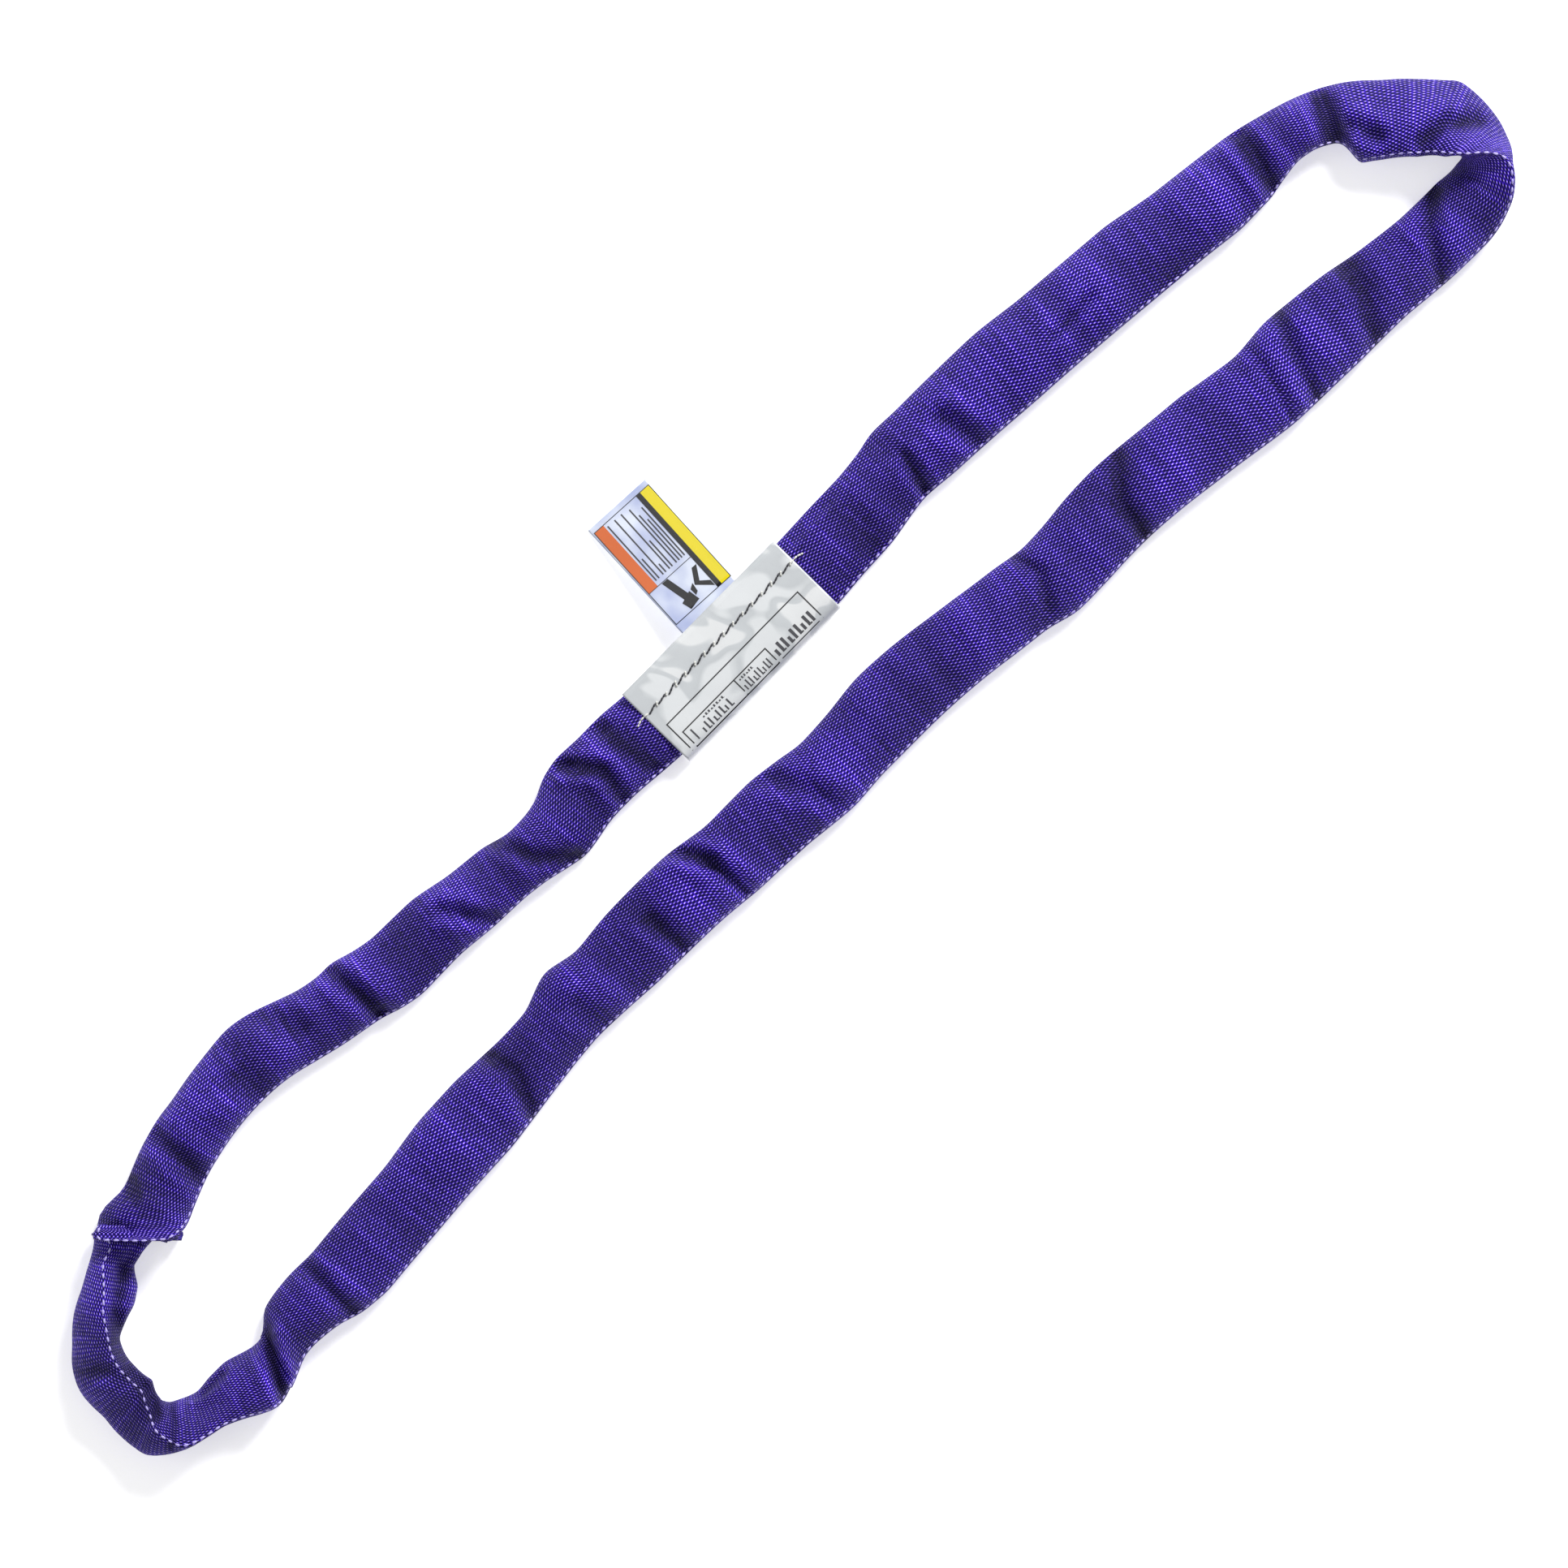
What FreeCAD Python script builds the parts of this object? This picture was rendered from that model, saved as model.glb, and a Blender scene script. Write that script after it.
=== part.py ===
import FreeCAD, Part
import math
import os

# Endless round sling lying as a long narrow loop: a hollow woven sleeve, the endless core turns
# inside it, a folded label sewn to one leg and an information tag on the label's open edge.
# Millimetres. +X runs along the loop, +Z is up, and the sling lies on z = 0.

V = FreeCAD.Vector
UP = V(0, 0, 1)

# ---- sleeve ----
SLEEVE_WALL = 1.2
CORNER_SHARE = 0.42             # corner radius of a section, as a share of its smaller side
# A section is its width, its height and the height of its underside.
LEG = (40.0, 13.0, 0.0)         # lying flat
NECK = (38.5, 11.0, 1.0)        # drawn in, and lifted by the label's lower ply
EASING = (37.0, 15.0, 0.0)      # starting to tip
TIPPED = (31.0, 24.0, 0.0)      # half way up
ON_EDGE = (25.0, 32.0, 0.0)     # standing on its edge round a bight

# The centreline seen from above, with the sleeve's section at each point. It starts and ends
# under the label, goes out along the label's leg, round the right-hand bight and back.
ROUTE = [
    (-6, 16, NECK),
    (60, 20, NECK),
    (126, 28, LEG),
    (198, 29, LEG),
    (271, 26, LEG),
    (315, 25, LEG),
    (358, 23, EASING),
    (396, 10, EASING),
    (424, -15, TIPPED),
    (430, -44, ON_EDGE),
    (414, -59, TIPPED),
    (379, -60, EASING),
    (327, -57, LEG),
    (260, -58, LEG),
    (193, -53, LEG),
    (140, -58, LEG),
    (70, -51, LEG),
    (2, -56, LEG),
    (-69, -53, LEG),
    (-141, -56, LEG),
    (-198, -64, LEG),
    (-260, -70, LEG),
    (-322, -79, LEG),
    (-373, -89, TIPPED),
    (-417, -81, ON_EDGE),
    (-431, -58, ON_EDGE),
    (-427, -29, ON_EDGE),
    (-402, -7, ON_EDGE),
    (-363, 4, TIPPED),
    (-299, 24, LEG),
    (-231, 15, LEG),
    (-172, 12, LEG),
    (-116, 7, LEG),
    (-75, 14, LEG),
    (-39, 14, NECK),
    (-6, 16, NECK),
]
TANGENT_SHARE = 0.45            # share of the shorter run that an arc takes up
LOFT_STEP = 10.0                # degrees between the sections of a tapering arc

# ---- fold ----
FOLD_X = -234.0                 # the loop folds over on itself about a line across both legs
FOLD_GAP = 0.3

# ---- core ----
YARN_DIAMETER = 2.2
YARN_PITCH = 2.75
YARN_COLUMNS = 4
YARN_ROWS = 3
CORE_Z = 6.5
TAPE_LENGTH = 14.0
TAPE_WALL = 0.4
TAPE_CLEARANCE = 0.4
TAPE_RUN = (198, 29, 271, 26)   # the tape sits half way along this run of the route

# ---- label ----
LABEL_CENTRE = (10.5, 17.0)
LABEL_SLOPE = math.degrees(math.atan2(4, 66))   # that of the route's first run
LABEL_LENGTH = 100.0
LABEL_LOW_Y = -22.6
LABEL_HIGH_Y = 21.2
LABEL_HEIGHT = 13.0
LABEL_WALL = 0.5
LABEL_CORNER = 6.2
SLOT_LOW_Z = 4.0                # the label's two plies stop short of each other on this side
SLOT_HIGH_Z = 10.6
FILM_WIDTH = 30.0
FILM_LENGTH = 96.0
FILM_THICKNESS = 0.25
FILM_LIFT = 0.05

# ---- stitching ----
THREAD_RADIUS = 0.35
STITCH_PITCH = 6.4
STITCH_LENGTH = 4.6
STITCH_COUNT = 15
STITCH_Y = 7.4
STITCH_LEAN = 1.0               # degrees between the stitch line and the label
TAIL_LENGTH = 5.0
SEAM_X = (-30.0, -24.0)
SEAM_STITCH = (1.0, 4.0, 0.3)
SEAM_PITCH = 6.0
SEAM_PER_ROW = 5
SEAM_LIFT = 0.1

# ---- information tag ----
TAG_WIDTH = 35.0
TAG_CENTRE_X = 16.5
TAG_AXIS_Y = 40.2
TAG_AXIS_Z = 11.0
TAG_DROP = 0.7                  # the tag hangs this far under its fold line
TAG_LENGTH = 63.7
TAG_THICKNESS = 0.5
TAG_SLOPE = 9.0
TAG_ROOT = 0.5
TAG_FILM_MARGIN = 1.5
TAG_FILM_THICKNESS = 0.2


def corner_radius(section):
    return CORNER_SHARE * min(section[0], section[1])


def rounded_wire(low_y, high_y, low_z, high_z, radius):
    """A rounded rectangle in the YZ plane at x = 0."""
    k = radius * (1 - math.sqrt(0.5))
    corners = [
        (high_y, low_z, -1, 1),
        (high_y, high_z, -1, -1),
        (low_y, high_z, 1, -1),
        (low_y, low_z, 1, 1),
    ]
    edges = []
    ends = []
    for number, (y, z, sy, sz) in enumerate(corners):
        across = V(0, y + sy * radius, z)
        upright = V(0, y, z + sz * radius)
        middle = V(0, y + sy * k, z + sz * k)
        first, last = (across, upright) if number % 2 == 0 else (upright, across)
        ends.append((first, middle, last))
    for number, (first, middle, last) in enumerate(ends):
        edges.append(Part.Arc(first, middle, last).toShape())
        following = ends[(number + 1) % 4][0]
        edges.append(Part.LineSegment(last, following).toShape())
    return Part.Wire(edges)


def section_wire(section, inset=0.0):
    width, height, bottom = section
    half = width / 2 - inset
    radius = corner_radius(section) - inset
    return rounded_wire(-half, half, bottom + inset, bottom + height - inset, radius)


def place(shape, point, heading):
    """Turns a shape drawn at the origin to a heading in degrees and moves it to a point."""
    moved = shape.copy()
    moved.rotate(V(0, 0, 0), UP, heading)
    moved.translate(V(point.x, point.y, 0))
    return moved


def heading_of(direction):
    return math.degrees(math.atan2(direction.y, direction.x))


def left_of(direction):
    return V(-direction.y, direction.x, 0)


def mean(one, two):
    return tuple((a + b) / 2 for a, b in zip(one, two))


def blend(one, two, share):
    return tuple(a + (b - a) * share for a, b in zip(one, two))


def build_path():
    """Straight runs joined by tangent arcs, each with the section at its ends and middle."""
    points = [V(x, y, 0) for x, y, section in ROUTE]
    sections = [section for x, y, section in ROUTE]
    pieces = []
    radii = []
    reached = points[0]
    for i in range(1, len(points) - 1):
        before = points[i] - points[i - 1]
        after = points[i + 1] - points[i]
        tangent = TANGENT_SHARE * min(before.Length, after.Length)
        d1 = V(before).normalize()
        d2 = V(after).normalize()
        turn = math.atan2(d1.x * d2.y - d1.y * d2.x, d1.dot(d2))
        radius = tangent / math.tan(abs(turn) / 2)
        side = 1 if turn > 0 else -1
        start = points[i] - d1 * tangent
        end = points[i] + d2 * tangent
        centre = start + left_of(d1) * side * radius
        entry = mean(sections[i - 1], sections[i])
        leaving = mean(sections[i], sections[i + 1])
        pieces.append({"kind": "run", "start": reached, "end": start, "d1": d1, "d2": d1,
                       "sections": (entry, entry, entry)})
        pieces.append({"kind": "arc", "start": start, "end": end, "d1": d1, "d2": d2,
                       "centre": centre, "radius": radius, "side": side, "turn": turn,
                       "sections": (entry, sections[i], leaving)})
        radii.append(radius)
        reached = end
    pieces.append({"kind": "run", "start": reached, "end": points[-1], "d1": d2, "d2": d2,
                   "sections": (sections[-1], sections[-1], sections[-1])})
    return pieces, radii


def on_arc(piece, share, offset=0.0):
    """The point and the direction part of the way round an arc, on a line offset to the left."""
    angle = piece["turn"] * share
    spoke = piece["start"] - piece["centre"]
    turned = V(spoke.x * math.cos(angle) - spoke.y * math.sin(angle),
               spoke.x * math.sin(angle) + spoke.y * math.cos(angle), 0)
    scale = (piece["radius"] - piece["side"] * offset) / piece["radius"]
    heading = heading_of(piece["d1"]) + math.degrees(angle)
    return piece["centre"] + turned * scale, heading


def tapered(piece, share_a, share_b, section_a, section_b):
    """Part of an arc over which the hollow section changes."""
    steps = max(1, math.ceil(abs(math.degrees(piece["turn"])) * (share_b - share_a) / LOFT_STEP))
    shells = []
    for inset in (0.0, SLEEVE_WALL):
        wires = []
        for step in range(steps + 1):
            point, heading = on_arc(piece, share_a + (share_b - share_a) * step / steps)
            section = blend(section_a, section_b, step / steps)
            wires.append(place(section_wire(section, inset), point, heading))
        shells.append(Part.makeLoft(wires, True, True))
    return shells[0].cut(shells[1])


def sleeve_stretches(piece):
    """The hollow sleeve along one run or arc."""
    first, middle, last = piece["sections"]
    if piece["kind"] == "arc" and not first == middle == last:
        return [tapered(piece, 0.0, 0.5, first, middle), tapered(piece, 0.5, 1.0, middle, last)]
    outer = Part.Face(section_wire(first))
    inner = Part.Face(section_wire(first, SLEEVE_WALL))
    face = place(outer.cut(inner), piece["start"], heading_of(piece["d1"])).Faces[0]
    if piece["kind"] == "run":
        return [face.extrude(piece["end"] - piece["start"])]
    return [face.revolve(piece["centre"], UP, math.degrees(piece["turn"]))]


def fold_side(path, label_side):
    """The pieces of the closed path on one side of the fold, in order."""
    if label_side:
        keep = [max(p["start"].x, p["end"].x) > FOLD_X for p in path]
    else:
        keep = [min(p["start"].x, p["end"].x) < FOLD_X for p in path]
    if keep[0]:
        first = max(i for i in range(len(path)) if not keep[i]) + 1
        last = min(i for i in range(len(path)) if not keep[i])
        return path[first:] + path[:last]
    return [p for p, kept in zip(path, keep) if kept]


def side_box(label_side):
    """Everything on one side of the fold, short of it by half the gap."""
    reach = 600
    low = FOLD_X + FOLD_GAP / 2 if label_side else FOLD_X - FOLD_GAP / 2 - 2 * reach
    return Part.makeBox(2 * reach, 2 * reach, reach, V(low, -reach, -reach / 2))


def make_sleeve(path, label_side):
    stretches = []
    for piece in fold_side(path, label_side):
        stretches += sleeve_stretches(piece)
    whole = stretches[0].multiFuse(stretches[1:]).removeSplitter()
    return whole.common(side_box(label_side))


def yarn_path(pieces, offset, height):
    lift = V(0, 0, height)
    edges = []
    for piece in pieces:
        start = piece["start"] + left_of(piece["d1"]) * offset + lift
        end = piece["end"] + left_of(piece["d2"]) * offset + lift
        if piece["kind"] == "run":
            edges.append(Part.LineSegment(start, end).toShape())
        else:
            middle = on_arc(piece, 0.5, offset)[0] + lift
            edges.append(Part.Arc(start, middle, end).toShape())
    return Part.Wire(edges)


def make_core_turn(path, label_side, offset, height):
    route = yarn_path(fold_side(path, label_side), offset, height)
    start = route.Edges[0]
    mouth = Part.Circle(start.valueAt(start.FirstParameter), start.tangentAt(start.FirstParameter),
                        YARN_DIAMETER / 2)
    disc = Part.Face(Part.Wire(mouth.toShape()))
    yarn = route.makePipe(disc)
    section_area = math.pi * YARN_DIAMETER ** 2 / 4
    share = yarn.Volume / (section_area * route.Length)
    if yarn.ShapeType != "Solid":
        yarn = yarn.Solids[0]
    return yarn.common(side_box(label_side)), share


def make_tape():
    """A wrap that ties the core turns together where the yarn's two ends are joined."""
    x1, y1, x2, y2 = TAPE_RUN
    half_w = ((YARN_COLUMNS - 1) * YARN_PITCH + YARN_DIAMETER) / 2 + TAPE_CLEARANCE
    half_h = ((YARN_ROWS - 1) * YARN_PITCH + YARN_DIAMETER) / 2 + TAPE_CLEARANCE
    inner = rounded_wire(-half_w, half_w, CORE_Z - half_h, CORE_Z + half_h, 1.5)
    out_w = half_w + TAPE_WALL
    out_h = half_h + TAPE_WALL
    outer = rounded_wire(-out_w, out_w, CORE_Z - out_h, CORE_Z + out_h, 1.5 + TAPE_WALL)
    ring = Part.Face(outer).cut(Part.Face(inner)).Faces[0]
    band = ring.extrude(V(TAPE_LENGTH, 0, 0))
    band.translate(V(-TAPE_LENGTH / 2, 0, 0))
    middle = V((x1 + x2) / 2, (y1 + y2) / 2, 0)
    return place(band, middle, heading_of(V(x2 - x1, y2 - y1, 0)))


def on_label(shape):
    return place(shape, V(LABEL_CENTRE[0], LABEL_CENTRE[1], 0), LABEL_SLOPE)


def make_label():
    """One sheet folded round the leg: the fold is on the loop's inside, the open edge outside."""
    outer = rounded_wire(LABEL_LOW_Y, LABEL_HIGH_Y, 0, LABEL_HEIGHT, LABEL_CORNER)
    inner = rounded_wire(LABEL_LOW_Y + LABEL_WALL, LABEL_HIGH_Y - LABEL_WALL, LABEL_WALL,
                         LABEL_HEIGHT - LABEL_WALL, LABEL_CORNER - LABEL_WALL)
    ring = Part.Face(outer).cut(Part.Face(inner)).Faces[0]
    wrap = ring.extrude(V(LABEL_LENGTH, 0, 0))
    wrap.translate(V(-LABEL_LENGTH / 2, 0, 0))
    slot = Part.makeBox(LABEL_LENGTH + 2, LABEL_CORNER + 1, SLOT_HIGH_Z - SLOT_LOW_Z,
                        V(-LABEL_LENGTH / 2 - 1, LABEL_HIGH_Y - LABEL_CORNER, SLOT_LOW_Z))
    return on_label(wrap.cut(slot))


def make_label_film():
    film = Part.makeBox(FILM_LENGTH, FILM_WIDTH, FILM_THICKNESS,
                        V(-FILM_LENGTH / 2, LABEL_LOW_Y + LABEL_CORNER, LABEL_HEIGHT + FILM_LIFT))
    return on_label(film)


def thread_bar(x, length):
    z = LABEL_HEIGHT + FILM_LIFT * 2 + FILM_THICKNESS + THREAD_RADIUS
    bar = Part.makeCylinder(THREAD_RADIUS, length, V(x, STITCH_Y, z), V(1, 0, 0))
    bar.rotate(V(0, STITCH_Y, z), UP, STITCH_LEAN)
    return on_label(bar)


def make_stitches():
    first = -STITCH_PITCH * (STITCH_COUNT - 1) / 2 - STITCH_LENGTH / 2
    bars = [thread_bar(first + n * STITCH_PITCH, STITCH_LENGTH) for n in range(STITCH_COUNT)]
    return Part.makeCompound(bars)


def make_thread_tails():
    left = thread_bar(-LABEL_LENGTH / 2 - TAIL_LENGTH - 0.5, TAIL_LENGTH)
    right = thread_bar(LABEL_LENGTH / 2 + 0.5, TAIL_LENGTH)
    return Part.makeCompound([left, right])


def make_seam_thread():
    """The two rows of stitches, under the label, that close the sleeve's overlapped ends."""
    wide, long, thick = SEAM_STITCH
    top = NECK[1] + NECK[2] + SEAM_LIFT
    bars = []
    for x in SEAM_X:
        for n in range(SEAM_PER_ROW):
            y = (n - (SEAM_PER_ROW - 1) / 2) * SEAM_PITCH - long / 2
            bars.append(on_label(Part.makeBox(wide, long, thick, V(x, y, top))))
    return Part.makeCompound(bars)


def tag_plate(width, start, length, thickness, lift):
    """A plate that runs outwards from the tag's fold line and slopes down to the ground."""
    plate = Part.makeBox(width, length, thickness,
                         V(TAG_CENTRE_X - width / 2, TAG_AXIS_Y + start,
                           TAG_AXIS_Z - TAG_DROP - thickness / 2 + lift))
    plate.rotate(V(TAG_CENTRE_X, TAG_AXIS_Y, TAG_AXIS_Z), V(1, 0, 0), -TAG_SLOPE)
    return plate


def make_tag():
    return tag_plate(TAG_WIDTH, -TAG_ROOT, TAG_LENGTH, TAG_THICKNESS, 0)


def make_tag_film():
    lift = TAG_THICKNESS / 2 + TAG_FILM_THICKNESS / 2 + 0.02
    return tag_plate(TAG_WIDTH - 2 * TAG_FILM_MARGIN, TAG_FILM_MARGIN,
                     TAG_LENGTH - 3 * TAG_FILM_MARGIN, TAG_FILM_THICKNESS, lift)


def main():
    os.makedirs("parts", exist_ok=True)
    path, radii = build_path()
    print("arc radii", [round(r) for r in radii])
    ring = yarn_path(path, 0, 0)
    print("centreline", round(ring.Length, 1))

    nodes = {}
    shares = []
    for side, label_side in (("label_side", True), ("far_side", False)):
        nodes["sleeve_" + side] = make_sleeve(path, label_side)
        number = 0
        for row in range(YARN_ROWS):
            for column in range(YARN_COLUMNS):
                number += 1
                offset = (column - (YARN_COLUMNS - 1) / 2) * YARN_PITCH
                height = CORE_Z + (row - (YARN_ROWS - 1) / 2) * YARN_PITCH
                turn, share = make_core_turn(path, label_side, offset, height)
                nodes["core_turn_%02d_%s" % (number, side)] = turn
                shares.append(share)
    print("yarn volume over section x length: %.4f to %.4f" % (min(shares), max(shares)))
    nodes["core_tape"] = make_tape()
    nodes["sleeve_seam_thread"] = make_seam_thread()
    nodes["label"] = make_label()
    nodes["label_film"] = make_label_film()
    nodes["label_stitches"] = make_stitches()
    nodes["label_thread_tails"] = make_thread_tails()
    nodes["info_tag"] = make_tag()
    nodes["info_tag_film"] = make_tag_film()

    low = V(1e9, 1e9, 1e9)
    high = V(-1e9, -1e9, -1e9)
    for name, shape in nodes.items():
        box = shape.optimalBoundingBox(True, False)
        low = V(min(low.x, box.XMin), min(low.y, box.YMin), min(low.z, box.ZMin))
        high = V(max(high.x, box.XMax), max(high.y, box.YMax), max(high.z, box.ZMax))
        print("%-28s solids %2d  valid %s  volume %9.1f" %
              (name, len(shape.Solids), shape.isValid(), shape.Volume))
        shape.exportStep("parts/" + name + ".step")
    print("box", low, high, "centre", (low + high) * 0.5)


main()
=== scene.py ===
# %% [markdown]
# # A round sling, laid out on a pale floor
# A round sling is an endless lifting sling. One polyester yarn goes round and round in a loop, and a woven
# tube, the sleeve, holds the turns together and takes the wear. Lying slack on a floor, the sleeve is a wide
# flat tube with a soft core in its middle, full of puckers, because it is cut a little longer than the core.
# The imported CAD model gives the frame: what moves, where each part lies and how big it is. This script
# makes the looks round it.

# %% Load the frame
import math

import bmesh
import bpy
import numpy as np
from mathutils import Matrix, Vector, noise


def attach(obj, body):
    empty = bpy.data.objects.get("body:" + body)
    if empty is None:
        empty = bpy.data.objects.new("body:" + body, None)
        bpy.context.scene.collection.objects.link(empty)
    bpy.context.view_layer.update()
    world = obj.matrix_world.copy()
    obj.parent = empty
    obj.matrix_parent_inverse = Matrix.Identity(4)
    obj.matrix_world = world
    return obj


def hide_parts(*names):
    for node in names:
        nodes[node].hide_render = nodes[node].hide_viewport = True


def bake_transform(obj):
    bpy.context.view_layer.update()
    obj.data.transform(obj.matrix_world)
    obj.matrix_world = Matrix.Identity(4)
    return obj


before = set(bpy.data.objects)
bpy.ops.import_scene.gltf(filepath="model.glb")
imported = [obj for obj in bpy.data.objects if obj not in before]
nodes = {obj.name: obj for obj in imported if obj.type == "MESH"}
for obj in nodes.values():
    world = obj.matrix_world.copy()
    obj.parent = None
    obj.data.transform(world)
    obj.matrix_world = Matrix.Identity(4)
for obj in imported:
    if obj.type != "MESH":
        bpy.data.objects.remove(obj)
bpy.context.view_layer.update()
MM = 0.001

# %% [markdown]
# ## Camera, lights and floor
# The sling is seen from straight above with a long lens, turned so that its length runs up to the right.
# A large soft light from the upper right gives each pucker a light and a dark side, and a weak one from the
# other side keeps the dark sides blue and not black. The floor is a white panel with a faint light of its
# own, so that it is white from corner to corner and the shadows on it stay pale.

# %% Camera
VIEW_CENTRE = (-12.6 * MM, -45.7 * MM)
VIEW_WIDTH = 0.7283
VIEW_TURN = math.radians(-42)
LENS = 200.0
SENSOR = 36.0

eye = bpy.data.cameras.new("eye")
eye.lens = LENS
eye.sensor_width = SENSOR
camera = bpy.data.objects.new("eye", eye)
camera.location = (*VIEW_CENTRE, VIEW_WIDTH * LENS / SENSOR)
camera.rotation_euler = (0, 0, VIEW_TURN)
bpy.context.collection.objects.link(camera)
bpy.context.scene.camera = camera
bpy.context.scene.view_settings.view_transform = "Standard"


# %% Lights and world
def soft_light(name, place, aim, size, power):
    """Hang a square area light at a place, aimed at a point."""
    lamp = bpy.data.lights.new(name, "AREA")
    lamp.size = size
    lamp.energy = power
    holder = bpy.data.objects.new(name, lamp)
    holder.location = place
    holder.rotation_euler = (Vector(aim) - Vector(place)).to_track_quat("-Z", "Y").to_euler()
    bpy.context.collection.objects.link(holder)


soft_light("window", (3.4, 1.1, 2.5), (0, 0, 0), 1.5, 235)
soft_light("bounce", (-2.4, 2.0, 2.6), (0, 0, 0), 2.4, 22)

world = bpy.data.worlds.new("studio")
bpy.context.scene.world = world
world.use_nodes = True
world.node_tree.nodes["Background"].inputs["Color"].default_value = (1.0, 1.0, 1.0, 1)
world.node_tree.nodes["Background"].inputs["Strength"].default_value = 0.36


# %% [markdown]
# ## Colours and nodes
# Colours are read off as sRGB hex values, which is how a designer names them. A shader wants linear light,
# so one function turns the one into the other. A second small function adds a node, sets it and wires it.

# %% Colour and node helpers
def linear(hex_colour):
    """An sRGB colour such as '#3F2B96' as linear light, with full alpha."""
    parts = [int(hex_colour[i:i + 2], 16) / 255 for i in (1, 3, 5)]
    return (*[p / 12.92 if p <= 0.04045 else ((p + 0.055) / 1.055) ** 2.4 for p in parts], 1.0)


def add(tree, kind, links=(), stops=(), **settings):
    """Add one node. Links are (socket, value or another node's output), stops are the (place, hex colour)
    pairs of a colour ramp, from low to high, and settings are the node's own properties."""
    made = tree.nodes.new(kind)
    for name, value in settings.items():
        setattr(made, name, value)
    for socket, value in links:
        if isinstance(value, bpy.types.NodeSocket):
            tree.links.new(value, made.inputs[socket])
        else:
            made.inputs[socket].default_value = value
    for number, (place, colour) in enumerate(stops):
        bar = made.color_ramp.elements
        stop = bar[number] if number < len(bar) else bar.new(place)
        stop.position, stop.color = place, linear(colour)
    return made


def new_material(name, settings):
    """A material with nothing in it but a shader, with (socket, value) settings, wired to the output."""
    material = bpy.data.materials.new(name)
    material.use_nodes = True
    tree = material.node_tree
    tree.nodes.clear()
    shader = add(tree, "ShaderNodeBsdfPrincipled", settings)
    add(tree, "ShaderNodeOutputMaterial", [("Surface", shader.outputs["BSDF"])])
    return material, tree, shader


# %% Floor
floor_material, tree, shader = new_material("lit_white_panel", [
    ("Base Color", linear("#FBFBFC")), ("Roughness", 1.0), ("Specular IOR Level", 0.1),
    ("Emission Color", linear("#FFFFFF")), ("Emission Strength", 0.5)])

FLOOR_SIZE = 12.0
floor_mesh = bpy.data.meshes.new("floor")
bm = bmesh.new()
bmesh.ops.create_grid(bm, x_segments=1, y_segments=1, size=FLOOR_SIZE / 2)
bm.to_mesh(floor_mesh)
bm.free()
floor = bpy.data.objects.new("floor", floor_mesh)
floor.data.materials.append(floor_material)
bpy.context.collection.objects.link(floor)

# %% [markdown]
# ## The line that the sling lies along
# The sleeve is a fixed length of something limp, so its line comes first. It is a NURBS curve, which is
# smooth as a limp thing is, and these are its control points, in millimetres, with the height of the sleeve
# there. One edge of the tube, the selvage, is where it was woven shut. It faces in (180 degrees) on the
# label's leg. Round each end of the loop the sleeve turns over, so the selvage climbs, stands straight up
# (90) and comes down facing out (0) on the other leg.

# %% The route
ROUTE = [  # x, y, height of the sleeve
    (-6, 16, 11.4), (60, 20, 11.4), (126, 28, 16), (198, 29, 17), (271, 26, 17), (315, 25, 16),
    (358, 23, 17), (396, 10, 20), (424, -15, 25), (430, -44, 30), (414, -59, 23), (379, -60, 17),
    (327, -57, 17), (260, -58, 17), (193, -53, 17), (140, -58, 16), (70, -51, 17), (2, -56, 16),
    (-69, -53, 17), (-141, -56, 16), (-198, -64, 17), (-260, -70, 17), (-322, -79, 18), (-373, -89, 21),
    (-417, -81, 26), (-431, -58, 29), (-427, -29, 29), (-402, -7, 22), (-363, 4, 22), (-299, 24, 18),
    (-231, 15, 16), (-172, 12, 16), (-116, 7, 16), (-75, 14, 16), (-39, 14, 12.5), (-6, 16, 11.4),
]
MORE_HEIGHTS = [(-386, -2, 15), (-374, 2, 24), (-350, 10, 19), (-398, -86, 17)]   # heights on the way
SELVAGE = [  # x, y, and the way the selvage faces there
    (358, 23, 178), (396, 10, 172), (422, -14, 163), (429, -34, 152), (430, -43, 128), (427, -51, 82),
    (420, -57, 36), (410, -60, 10), (379, -60, 1), (-322, -79, 2), (-373, -89, 8), (-403, -86, 30),
    (-415, -84, 54), (-423, -77, 82), (-429, -68, 98), (-431, -57, 104), (-428, -38, 106), (-421, -24, 105),
    (-411, -14, 92), (-394, -4, 82), (-385, -1, 88), (-378, 1, 40), (-373.5, 2.6, 30), (-370, 3.5, 95),
    (-366.5, 4.2, 170), (-363, 4, 180),
]
LINE_STEPS = 26


def smooth_line(points, steps):
    """The points of a NURBS curve of order 3 with these control points, in metres."""
    curve = bpy.data.curves.new("line", "CURVE")
    curve.dimensions = "3D"
    curve.resolution_u = steps
    spline = curve.splines.new("NURBS")
    spline.points.add(len(points) - 1)
    for point, place in zip(spline.points, points):
        point.co = (*place, 1)
    spline.order_u = 3
    spline.use_endpoint_u = True
    holder = bpy.data.objects.new("line", curve)
    bpy.context.collection.objects.link(holder)
    bpy.context.view_layer.update()
    mesh = bpy.data.meshes.new_from_object(holder)
    read = np.array([v.co for v in mesh.vertices])
    bpy.data.objects.remove(holder)
    bpy.data.meshes.remove(mesh)
    return read


line = smooth_line([(x * MM, y * MM, height * MM / 2) for x, y, height in ROUTE], LINE_STEPS)

steps = np.linalg.norm(np.diff(line, axis=0), axis=1)
SLEEVE_LENGTH = float(steps.sum())
print(f"the line has {len(line)} points and is {SLEEVE_LENGTH:.4f} m long")

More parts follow.
